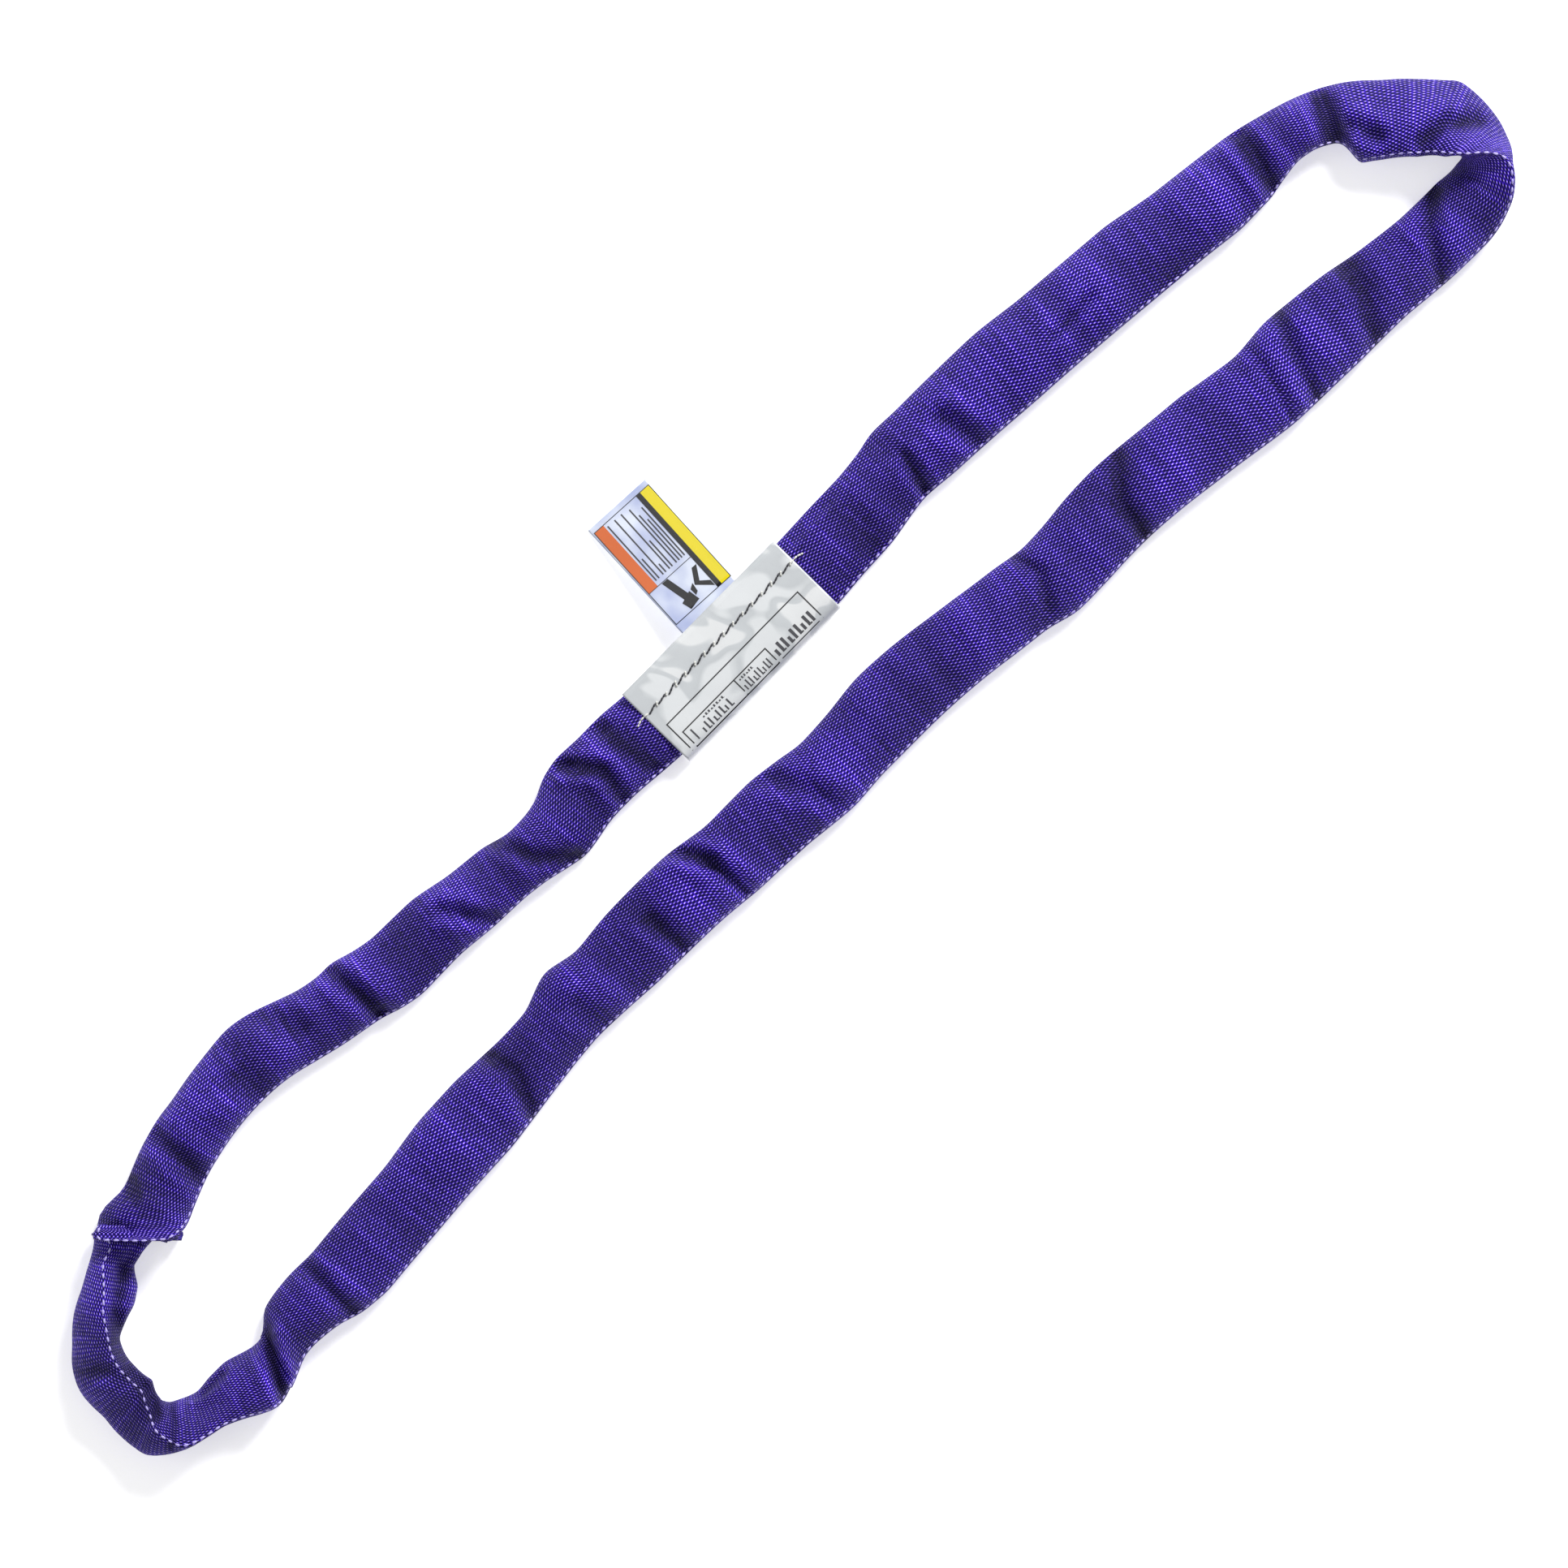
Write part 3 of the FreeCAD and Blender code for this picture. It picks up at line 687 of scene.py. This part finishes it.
# %% Sleeve
sleeve = grid_piece("sleeve", cloth, sleeve_material, closed=(True, True))
round_step = np.linalg.norm(np.diff(cloth, axis=1, append=cloth[:, :1]), axis=2)
round_share = np.cumsum(round_step, axis=1) / round_step.sum(axis=1, keepdims=True)
across_at = GIRTH * np.concatenate([np.zeros((RING_COUNT, 1)), round_share], axis=1)
across_at = np.concatenate([across_at, across_at[:1]])
ring_gaps = np.linalg.norm(np.diff(cloth, axis=0, append=cloth[:1]), axis=2).mean(axis=1)
along_at = np.concatenate([[0.0], np.cumsum(ring_gaps)])[:, None] * np.ones((1, AROUND + 1))
lay_uv(sleeve, across_at, along_at)

bm = bmesh.new()
bm.from_mesh(sleeve.data)
bmesh.ops.recalc_face_normals(bm, faces=bm.faces)
bm.to_mesh(sleeve.data)
bm.free()

# How far each point is moved, in mm. The sleeve's material paints shade into hollows and light onto rises
# from it.
crease_shade_depth = sleeve.data.attributes.new("crease_shade_depth", "FLOAT", "POINT")
crease_shade_depth.data.foreach_set("value", (hollow / MM).ravel().astype(np.float32))

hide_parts("sleeve_label_side", "sleeve_far_side")
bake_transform(sleeve)
print(f"sleeve: {len(sleeve.data.polygons)} faces")

# %% [markdown]
# ## The selvage
# The tube is woven flat and closed along one edge by a binding thread. It shows as a row of small light
# dashes that runs along the inner edge of one leg, climbs over the top round each end of the loop, and runs
# along the outer edge of the other leg. Each dash is a small stretched ball, laid between two points of that
# edge.

# %% Binding thread
BINDING_STEP = 4.3 * MM
BINDING_DASH = 2.5 * MM
BINDING_RADIUS = 0.6 * MM


def thread_finish(name, bands, unevenness, shade, shine, roughness):
    """A thread of shiny filaments twisted together, so that light and shade slant across it in bands."""
    material, tree, shader = new_material(name, [("Roughness", roughness)])
    twist = add(tree, "ShaderNodeTexWave", [("Scale", bands), ("Distortion", unevenness)],
                bands_direction="DIAGONAL")
    colour = add(tree, "ShaderNodeValToRGB", [("Fac", twist.outputs["Fac"])], stops=[shade, shine])
    tree.links.new(colour.outputs["Color"], shader.inputs["Base Color"])
    return material


thread_material = thread_finish("pale_violet_filament_thread", 900.0, 1.0,
                                (0.1, "#8474DA"), (0.8, "#D6CCFF"), 0.38)


def add_dash(bm, start, end, radius):
    """Add one small stretched ball between two points to a bmesh."""
    middle = (start + end) / 2
    way = (end - start).to_track_quat("Z", "Y").to_matrix().to_4x4()
    size = Matrix.Diagonal((radius, radius, (end - start).length / 2 + radius / 2, 1))
    bmesh.ops.create_icosphere(bm, subdivisions=1, radius=1.0, matrix=Matrix.Translation(middle) @ way @ size)


def finish_piece(name, bm, material):
    """Turn a bmesh into a smooth piece with a material."""
    mesh = bpy.data.meshes.new(name)
    bmesh.ops.recalc_face_normals(bm, faces=bm.faces)
    bm.to_mesh(mesh)
    bm.free()
    mesh.polygons.foreach_set("use_smooth", [True] * len(mesh.polygons))
    mesh.materials.append(material)
    piece = bpy.data.objects.new(name, mesh)
    bpy.context.collection.objects.link(piece)
    return piece


EDGE_TURN = 2.6                 # ring points by which the thread lies above the tip of the edge
on_upper_side = EDGE_TURN * np.cos(faces)
lower_point = np.floor(on_upper_side).astype(int)
part_way = (on_upper_side - lower_point)[:, None]
each_ring = np.arange(RING_COUNT)
edge = (cloth[each_ring, lower_point % AROUND] * (1 - part_way)
        + cloth[each_ring, (lower_point + 1) % AROUND] * part_way)
edge_steps = np.linalg.norm(np.diff(edge, axis=0, append=edge[:1]), axis=1)
edge_along = np.concatenate([[0.0], np.cumsum(edge_steps)])


def on_edge_at(distance):
    """The point of the selvage at a distance along it."""
    closed = np.concatenate([edge, edge[:1]])
    return Vector([np.interp(distance, edge_along, closed[:, axis]) for axis in range(3)])


bm = bmesh.new()
for dash in range(int(edge_along[-1] / BINDING_STEP)):
    here = dash * BINDING_STEP
    add_dash(bm, on_edge_at(here), on_edge_at(here + BINDING_DASH), BINDING_RADIUS)
binding = finish_piece("edge_binding_thread", bm, thread_material)
for vertex in binding.data.vertices:
    vertex.co.z = max(vertex.co.z, 0)               # the thread doesn't go into the floor
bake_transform(binding)
print(f"binding thread: {dash + 1} dashes")

# %% [markdown]
# ## The label
# A strip of white vinyl is wrapped round the sleeve from its open side, folded over the other edge and sewn
# through. Under its clear film the print stays readable, and where the film hasn't bonded it looks cloudy.
# The strip is a sheet: its profile, seen from its end, is a short NURBS line from one open edge round the
# fold to the other, and it is swept along the label with a slight wave, then given its thickness.

# %% Label sheet
LABEL_CENTRE = (10.5, 17.0)
LABEL_TURN = math.atan2(4, 66)
LABEL_LENGTH = 100.0
LABEL_THICKNESS = 0.5 * MM
LABEL_ROWS = 101
LABEL_WAVE = 0.28               # how strongly the sheet waves
LABEL_LOWEST = 0.26             # the middle of the sheet lies half its thickness over the floor
LABEL_PROFILE = [  # across, up, from the open edge of the lower ply round the fold to that of the upper ply
    (21.0, 3.0), (15, 1.2), (6, 0.5), (-6, 0.4), (-14, 0.4), (-19.5, 0.7), (-22.0, 3.0), (-22.6, 6.2),
    (-21.6, 9.6), (-18.4, 12.2), (-11, 13.0), (-2, 13.1), (7, 13.0), (14, 12.6), (21.3, 11.4),
]


def from_label(x, y, z):
    """A place on the label, in millimetres from its middle, as a point in metres."""
    c, s = math.cos(LABEL_TURN), math.sin(LABEL_TURN)
    return Vector(((LABEL_CENTRE[0] + c * x - s * y) * MM, (LABEL_CENTRE[1] + s * x + c * y) * MM, z * MM))


def label_wave(x, y):
    """How far the label's sheet waves up or down at a place, in millimetres."""
    return LABEL_WAVE * noise.noise(Vector((x / 17, y / 13, 4.2)))


profile = smooth_line([(y * MM, z * MM, 0) for y, z in LABEL_PROFILE], 6)[:, :2] / MM
upper = profile[int(np.argmin(profile[:, 0])):]


def label_top(x, y, lift=0.0):
    """The point on the label's upper ply at a place, a little above it."""
    z = float(np.interp(y, upper[:, 0], upper[:, 1]))
    return from_label(x, y, z + label_wave(x, y) + lift)


# %% Label material
label_material, tree, shader = new_material("laminated_white_vinyl", [
    ("Roughness", 0.30), ("Coat Weight", 0.35), ("Coat Roughness", 0.12)])
place = add(tree, "ShaderNodeTexCoord")
cloud = add(tree, "ShaderNodeTexNoise",
            [("Vector", place.outputs["Object"]), ("Scale", 40.0), ("Detail", 1.2), ("Distortion", 0.8)])
cloud_colour = add(tree, "ShaderNodeValToRGB", [("Fac", cloud.outputs["Fac"])],
                   stops=[(0.0, "#DFE1E3"), (0.48, "#DADDDF"), (0.53, "#C1C5C8"), (0.62, "#C5C9CC"),
                          (0.66, "#DFE1E2")])
tree.links.new(cloud_colour.outputs["Color"], shader.inputs["Base Color"])
ripple = add(tree, "ShaderNodeTexNoise", [("Vector", place.outputs["Object"]), ("Scale", 160.0)])
ripple_bump = add(tree, "ShaderNodeBump",
                  [("Height", ripple.outputs["Fac"]), ("Strength", 0.25), ("Distance", 0.4 * MM)])
tree.links.new(ripple_bump.outputs["Normal"], shader.inputs["Normal"])

# %% Label piece
label_rows = []
for x in np.linspace(-LABEL_LENGTH / 2, LABEL_LENGTH / 2, LABEL_ROWS):
    label_rows.append([from_label(x, y, max(LABEL_LOWEST, z + label_wave(x, y) * smooth_step(z, 6, 12)))
                       for y, z in profile])
label = grid_piece("label_sheet", np.array(label_rows), label_material)
thickness = label.modifiers.new("vinyl", "SOLIDIFY")
thickness.thickness = LABEL_THICKNESS
thickness.offset = 0
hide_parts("label")
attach(label, "label_side")

# %% [markdown]
# ## Print
# The print is ink under the film: a thin black frame that runs on over the folded edge, and a box in it. A
# real label gives the maker, the part and the load. Here plain bars stand for the words. Each line and bar
# is a thin strip that follows the sheet a little above it.

# %% Ink
INK_LIFT = 0.36                 # mm above the middle of the sheet
INK_STEP = 2.0                  # mm between the points of a strip


def ink_material(name, hex_colour):
    """Printing ink: a flat colour that is a little uneven, as screen print is."""
    material, tree, shader = new_material(name, [("Roughness", 0.45), ("Specular IOR Level", 0.3)])
    spread = add(tree, "ShaderNodeTexNoise", [("Scale", 700.0), ("Detail", 2.0)])
    value = add(tree, "ShaderNodeMapRange",
                [("Value", spread.outputs["Fac"]), ("To Min", 0.82), ("To Max", 1.12)])
    mixed = add(tree, "ShaderNodeMix",
                [("Factor", 1.0), (6, linear(hex_colour)), (7, value.outputs["Result"])],
                data_type="RGBA", blend_type="MULTIPLY")
    tree.links.new(mixed.outputs[2], shader.inputs["Base Color"])
    return material


def print_strips(name, strips, surface, material, lift=INK_LIFT):
    """A piece of flat strips, each from x, y to x, y in millimetres on a surface."""
    bm = bmesh.new()
    for x1, y1, x2, y2 in strips:
        across_count = max(1, int(abs(x2 - x1) / INK_STEP))
        up_count = max(1, int(abs(y2 - y1) / INK_STEP))
        made = bmesh.ops.create_grid(bm, x_segments=across_count, y_segments=up_count, size=0.5)
        for vertex in made["verts"]:
            x = x1 + (vertex.co.x + 0.5) * (x2 - x1)
            y = y1 + (vertex.co.y + 0.5) * (y2 - y1)
            vertex.co = surface(x, y, lift)
    return finish_piece(name, bm, material)


def outline(x1, y1, x2, y2, width):
    """The four lines of a rectangle."""
    return [(x1, y1, x2, y1 + width), (x1, y2 - width, x2, y2),
            (x1, y1 + width, x1 + width, y2 - width), (x2 - width, y1 + width, x2, y2 - width)]


black_ink = ink_material("black_screen_ink", "#0C0B0F")
grey_ink = ink_material("grey_screen_ink", "#3C3C42")
LINE_WIDTH = 0.58
FRAME_LEFT, FRAME_RIGHT, FRAME_TOP = -45.6, 41.2, -3.0
FOLD_SIDE = -22.3
BOX_LEFT, BOX_RIGHT, BOX_TOP, BOX_DIVIDER = -42.8, 12.0, -10.6, -9.2
BOX_BOTTOM = -20.6

frame_lines = [
    (FRAME_LEFT, FRAME_TOP - LINE_WIDTH, FRAME_RIGHT, FRAME_TOP),
    (FRAME_LEFT, FOLD_SIDE, FRAME_LEFT + LINE_WIDTH, FRAME_TOP),
    (FRAME_RIGHT - LINE_WIDTH, FOLD_SIDE, FRAME_RIGHT, FRAME_TOP),
    *outline(BOX_LEFT, BOX_BOTTOM, BOX_RIGHT, BOX_TOP, LINE_WIDTH),
    (BOX_DIVIDER, FOLD_SIDE, BOX_DIVIDER + LINE_WIDTH, BOX_TOP),
]
label_frame = print_strips("label_print_lines", frame_lines, label_top, black_ink)

SHORT_BAR = 0.62                # height of every third bar, as a share of the others
FOOT_LENGTH, FOOT_HEIGHT = 0.8, 0.14    # of every second bar's foot, as shares of a step and of a tall bar


def glyph_bars(left_end, right_end, low, high, count, filled):
    """A row of bars, tall and short in turn, that stands for a word."""
    step = (right_end - left_end) / count
    bars = []
    for i in range(count):
        here = left_end + i * step
        top = high if i % 3 else low + SHORT_BAR * (high - low)
        bars.append((here, low, here + filled * step, top))
        if i % 2:
            bars.append((here, low, here + FOOT_LENGTH * step, low + FOOT_HEIGHT * (high - low)))
    return bars


word_bars = [
    *glyph_bars(-31, -17, -13.2, -12.0, 8, 0.5),
    *glyph_bars(-35, -15.6, -18.8, -14.4, 8, 0.36),
    (-39.6, -18.6, -38.8, -12.6),
    *glyph_bars(-7.0, 2.0, -13.2, -12.0, 6, 0.5),
    *glyph_bars(-7.4, 10.4, -18.8, -14.4, 9, 0.36),
    *glyph_bars(13.8, 39.4, -18.2, -12.6, 9, 0.52),
    (14.2, -20.2, 38.6, -19.7),
]
label_bars = print_strips("label_print_bars", word_bars, label_top, grey_ink)
for piece in (label_frame, label_bars):
    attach(piece, "label_side")

# %% [markdown]
# ## Clear film
# A strip of clear film is laminated over the print and keeps grease off it. It is thin and lets the light
# through, so it is mostly transparent, with a gloss of its own.

# %% Film over the label
film_material, tree, shader = new_material("clear_polyester_film", [
    ("Base Color", linear("#F7F8FA")), ("Roughness", 0.08), ("Alpha", 0.05)])
wrinkle = add(tree, "ShaderNodeTexNoise", [("Scale", 90.0), ("Detail", 1.0)])
wrinkle_bump = add(tree, "ShaderNodeBump",
                   [("Height", wrinkle.outputs["Fac"]), ("Strength", 0.5), ("Distance", 0.6 * MM)])
tree.links.new(wrinkle_bump.outputs["Normal"], shader.inputs["Normal"])

FILM_LOW, FILM_HIGH = -19.0, 18.5
FILM_HALF = 48.0
FILM_LIFT = 0.55
film_rows = [[label_top(x, y, FILM_LIFT) for y in np.linspace(FILM_LOW, FILM_HIGH, 26)]
             for x in np.linspace(-FILM_HALF, FILM_HALF, 65)]
film = grid_piece("label_clear_film", np.array(film_rows), film_material)
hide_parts("label_film")
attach(film, "label_side")

# %% [markdown]
# ## Lockstitches
# A sewing machine sews the label with two threads that lock in each hole. On top lies the black one, and in
# the holes a loop of the white one from below is pulled up, so the row looks like a twisted cord. The
# row leans a little and its tails hang past both ends of the label.

# %% Lockstitches
STITCH_PITCH = 6.4
STITCH_LENGTH = 5.4
STITCH_COUNT = 15
STITCH_Y = 7.4
STITCH_LEAN = math.radians(1.0)
THREAD_RADIUS = 0.55 * MM
STITCH_LIFT = 0.75              # from the middle of the label's sheet to that of the thread
HOLE_LIFT = 0.30                # the same where the black thread dives into a hole
LOCK_LIFT = 0.35                # and where the white one does

black_thread, white_thread = [
    thread_finish(f"{name}_bonded_nylon_thread", 700.0, 0.6, (0.2, shade), (0.9, shine), 0.42)
    for name, shade, shine in (("black", "#141418", "#45454E"), ("white", "#BDBDB8", "#F2F2EC"))]


def stitch_place(x, side=0.0, lift=STITCH_LIFT):
    """A place along the leaning row of stitches."""
    y = STITCH_Y + math.tan(STITCH_LEAN) * x + side
    return label_top(x, y, lift)


def add_strand(bm, points, radius):
    """Lay a strand of small stretched balls through some points."""
    for start, end in zip(points, points[1:]):
        add_dash(bm, start, end, radius)


black_bm, white_bm = bmesh.new(), bmesh.new()
for stitch in range(STITCH_COUNT):
    x = (stitch - (STITCH_COUNT - 1) / 2) * STITCH_PITCH
    skew = 0.75 + 0.55 * noise.noise(Vector((stitch * 1.7, 0, 0)))
    half = STITCH_LENGTH / 2
    add_strand(black_bm, [stitch_place(x - half, -skew, HOLE_LIFT),
                          stitch_place(x - half * 0.45, -skew * 0.6),
                          stitch_place(x + half * 0.35, skew * 0.4),
                          stitch_place(x + half, skew, HOLE_LIFT)], THREAD_RADIUS)
    add_strand(white_bm, [stitch_place(x + half - 0.3, -skew * 1.3, LOCK_LIFT),
                          stitch_place(x + half + 0.5, 0.2, 0.85),
                          stitch_place(x + half + 1.2, skew * 1.4, LOCK_LIFT)], THREAD_RADIUS * 0.9)
stitches = finish_piece("lockstitches_black", black_bm, black_thread)
locks = finish_piece("lockstitches_white", white_bm, white_thread)
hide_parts("label_stitches")

# %% Thread tails
TAIL_START = LABEL_LENGTH / 2 - 2.2
TAIL = [(0, 0, STITCH_LIFT), (2.6, 0.3, 0.5), (4.8, 0.2, 0.25), (6.6, -0.5, 0.1), (7.6, -0.9, 0.2)]

tail_bm = bmesh.new()
for end in (-1, 1):
    tail = [stitch_place(end * (TAIL_START + out), side, lift) for out, side, lift in TAIL]
    add_strand(tail_bm, tail, THREAD_RADIUS)
tails = finish_piece("thread_tails", tail_bm, white_thread)
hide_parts("label_thread_tails")
for piece in (stitches, locks, tails):
    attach(piece, "label_side")

# %% [markdown]
# ## The information tag
# A second, thinner vinyl tag is caught under the label's open edge and lies out on the floor. Its print on
# the real sling is care and load information. Here it keeps the colours, an orange and a yellow band
# with a black one beside it, and grey rules and plain shapes stand for words and pictures.

# %% Tag sheet
TAG_CENTRE_X = 16.5
TAG_HALF = 17.5
TAG_ROOT_Y = 31.0
TAG_FOLD_Y = 40.2
TAG_FOLD_Z = 10.4
TAG_END_Y = 102.6
TAG_SLOPE = math.tan(math.radians(9.0))
TAG_THICKNESS = 0.35 * MM
TAG_LOWEST = 0.25               # the middle of the sheet over the floor
TAG_FLARE = 0.55                # by how much each side of the free end is wider
TAG_WAVE = 0.55                 # how strongly the free part waves
TAG_WAVE_FADE = 14              # from the fold to where it waves fully


def tag_top(x, y, lift=0.0):
    """The point on the tag at a place in millimetres, a little above it."""
    fall = TAG_SLOPE * max(0.0, y - TAG_FOLD_Y)
    wave_share = float(smooth_step(y, TAG_FOLD_Y, TAG_FOLD_Y + TAG_WAVE_FADE))
    wave = TAG_WAVE * noise.noise(Vector((x / 19, y / 23, 8.1))) * wave_share
    z = max(TAG_LOWEST, TAG_FOLD_Z - fall + wave)
    return Vector((x * MM, y * MM, (z + lift) * MM))


tag_material, tree, shader = new_material("bluish_white_vinyl", [
    ("Roughness", 0.34), ("Coat Weight", 0.3), ("Coat Roughness", 0.15)])
place = add(tree, "ShaderNodeTexCoord")
haze = add(tree, "ShaderNodeTexNoise",
           [("Vector", place.outputs["Object"]), ("Scale", 60.0), ("Detail", 2.0)])
haze_colour = add(tree, "ShaderNodeValToRGB", [("Fac", haze.outputs["Fac"])],
                  stops=[(0.36, "#AEB8DC"), (0.64, "#D9E0F0")])
tree.links.new(haze_colour.outputs["Color"], shader.inputs["Base Color"])

tag_rows = []
for y in np.linspace(TAG_ROOT_Y, TAG_END_Y, 110):
    flare = TAG_FLARE * (y - TAG_FOLD_Y) / (TAG_END_Y - TAG_FOLD_Y)
    tag_rows.append([tag_top(x, y) for x in
                     np.linspace(TAG_CENTRE_X - TAG_HALF - flare, TAG_CENTRE_X + TAG_HALF + flare, 36)])
tag = grid_piece("information_tag", np.array(tag_rows), tag_material)
thickness = tag.modifiers.new("vinyl", "SOLIDIFY")
thickness.thickness = TAG_THICKNESS
thickness.offset = 0
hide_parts("info_tag")

# %% Tag print
orange_ink = ink_material("orange_screen_ink", "#D4641E")
yellow_ink = ink_material("yellow_screen_ink", "#E4D200")
PRINT_LEFT, PRINT_RIGHT, PRINT_LOW, PRINT_HIGH = -0.4, 33.8, 42.4, 99.9
BAND_SPLIT = 61.4
ORANGE_RIGHT, BLACK_LEFT, YELLOW_LEFT = 5.3, 25.7, 28.2
RULES = [  # x, from y, to y
    (6.6, 64, 98), (8.3, 64, 76), (10.9, 64, 98), (12.6, 64, 69), (14.9, 64, 98), (16.6, 64, 80),
    (19.2, 64, 97), (20.9, 64, 92), (22.6, 64, 88), (24.2, 64, 94),
]
RULE_HALF = 0.35
TAG_FRAME_WIDTH = 0.35
TAG_LIFT, LINES_LIFT = 0.26, 0.30       # the lines lie on the bands
tag_strips = {  # what each ink prints, from x, y to x, y
    "tag_print_lines": (black_ink, LINES_LIFT, [
        *outline(PRINT_LEFT, PRINT_LOW, PRINT_RIGHT, PRINT_HIGH, TAG_FRAME_WIDTH),
        (PRINT_LEFT, BAND_SPLIT, BLACK_LEFT, BAND_SPLIT + 0.3),
        (BLACK_LEFT, PRINT_LOW, YELLOW_LEFT, PRINT_HIGH)]),
    "tag_print_orange": (orange_ink, TAG_LIFT, [(PRINT_LEFT, BAND_SPLIT, ORANGE_RIGHT, PRINT_HIGH)]),
    "tag_print_yellow": (yellow_ink, TAG_LIFT, [(YELLOW_LEFT, PRINT_LOW, PRINT_RIGHT, PRINT_HIGH)]),
    "tag_print_rules": (grey_ink, TAG_LIFT, [
        (x - RULE_HALF, low, x + RULE_HALF, high) for x, low, high in RULES]),
}
tag_prints = [print_strips(name, strips, tag_top, ink, lift)
              for name, (ink, lift, strips) in tag_strips.items()]
PICTURE = [  # corners of plain shapes
    [(7.4, 61.2), (10.9, 61.2), (13.8, 49.0), (10.3, 48.4)],
    [(8.4, 48.0), (14.6, 50.2), (15.8, 44.4), (9.8, 43.2)],
    [(25.4, 57.4), (22.6, 57.4), (18.4, 50.6), (21.4, 50.6)],
    [(18.4, 50.6), (21.4, 50.6), (25.4, 47.4), (25.4, 44.2)],
    [(15.6, 50.4), (18.2, 52.0), (17.6, 47.6), (15.8, 46.6)],
]


def print_shapes(name, shapes, surface, material, lift):
    """A piece of flat four-cornered shapes on a surface."""
    bm = bmesh.new()
    for corners in shapes:
        bm.faces.new([bm.verts.new((x, y, 0)) for x, y in corners])
    bmesh.ops.subdivide_edges(bm, edges=bm.edges[:], cuts=3, use_grid_fill=True)
    for vertex in bm.verts:
        vertex.co = surface(vertex.co.x, vertex.co.y, lift)
    return finish_piece(name, bm, material)


tag_prints.append(print_shapes("tag_print_picture", PICTURE, tag_top, black_ink, TAG_LIFT))
for piece in (tag, *tag_prints):
    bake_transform(piece)
print(f"tag: {2 * TAG_HALF:.0f} by {TAG_END_Y - TAG_ROOT_Y:.0f} mm")

# %% Film over the tag
tag_film_rows = [[tag_top(x, y, 0.5) for x in np.linspace(PRINT_LEFT - 1, PRINT_RIGHT + 1, 30)]
                 for y in np.linspace(44.0, PRINT_HIGH + 1.4, 60)]
tag_film = grid_piece("tag_clear_film", np.array(tag_film_rows), film_material)
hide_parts("info_tag_film")
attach(tag_film, "info_tag")

# %% [markdown]
# ## Inside the sleeve
# The yarn turns, the tape that joins the yarn's ends and the seam under the label can't be seen from
# outside, but they are there. Their CAD shapes are right, so they only get the finish of the real things.

# %% Finishes of the hidden parts
yarn_material, tree, shader = new_material("raw_white_polyester_yarn", [
    ("Roughness", 0.7), ("Sheen Weight", 0.3)])
fibre = add(tree, "ShaderNodeTexNoise", [("Scale", 1500.0), ("Detail", 3.0)])
fibre_colour = add(tree, "ShaderNodeValToRGB", [("Fac", fibre.outputs["Fac"])],
                   stops=[(0.3, "#CFCDC4"), (0.7, "#F3F2EC")])
tree.links.new(fibre_colour.outputs["Color"], shader.inputs["Base Color"])

tape_material, tree, shader = new_material("woven_cotton_tape", [("Roughness", 0.85)])
threads = add(tree, "ShaderNodeTexChecker",
              [("Scale", 1600.0), ("Color1", linear("#D9D2BE")), ("Color2", linear("#BDB59D"))])
tree.links.new(threads.outputs["Color"], shader.inputs["Base Color"])

FINISHES = {"core_turn": yarn_material, "core_tape": tape_material, "sleeve_seam": thread_material}
for name, node in nodes.items():
    for start, material in FINISHES.items():
        if name.startswith(start):
            node.data.materials.clear()
            node.data.materials.append(material)
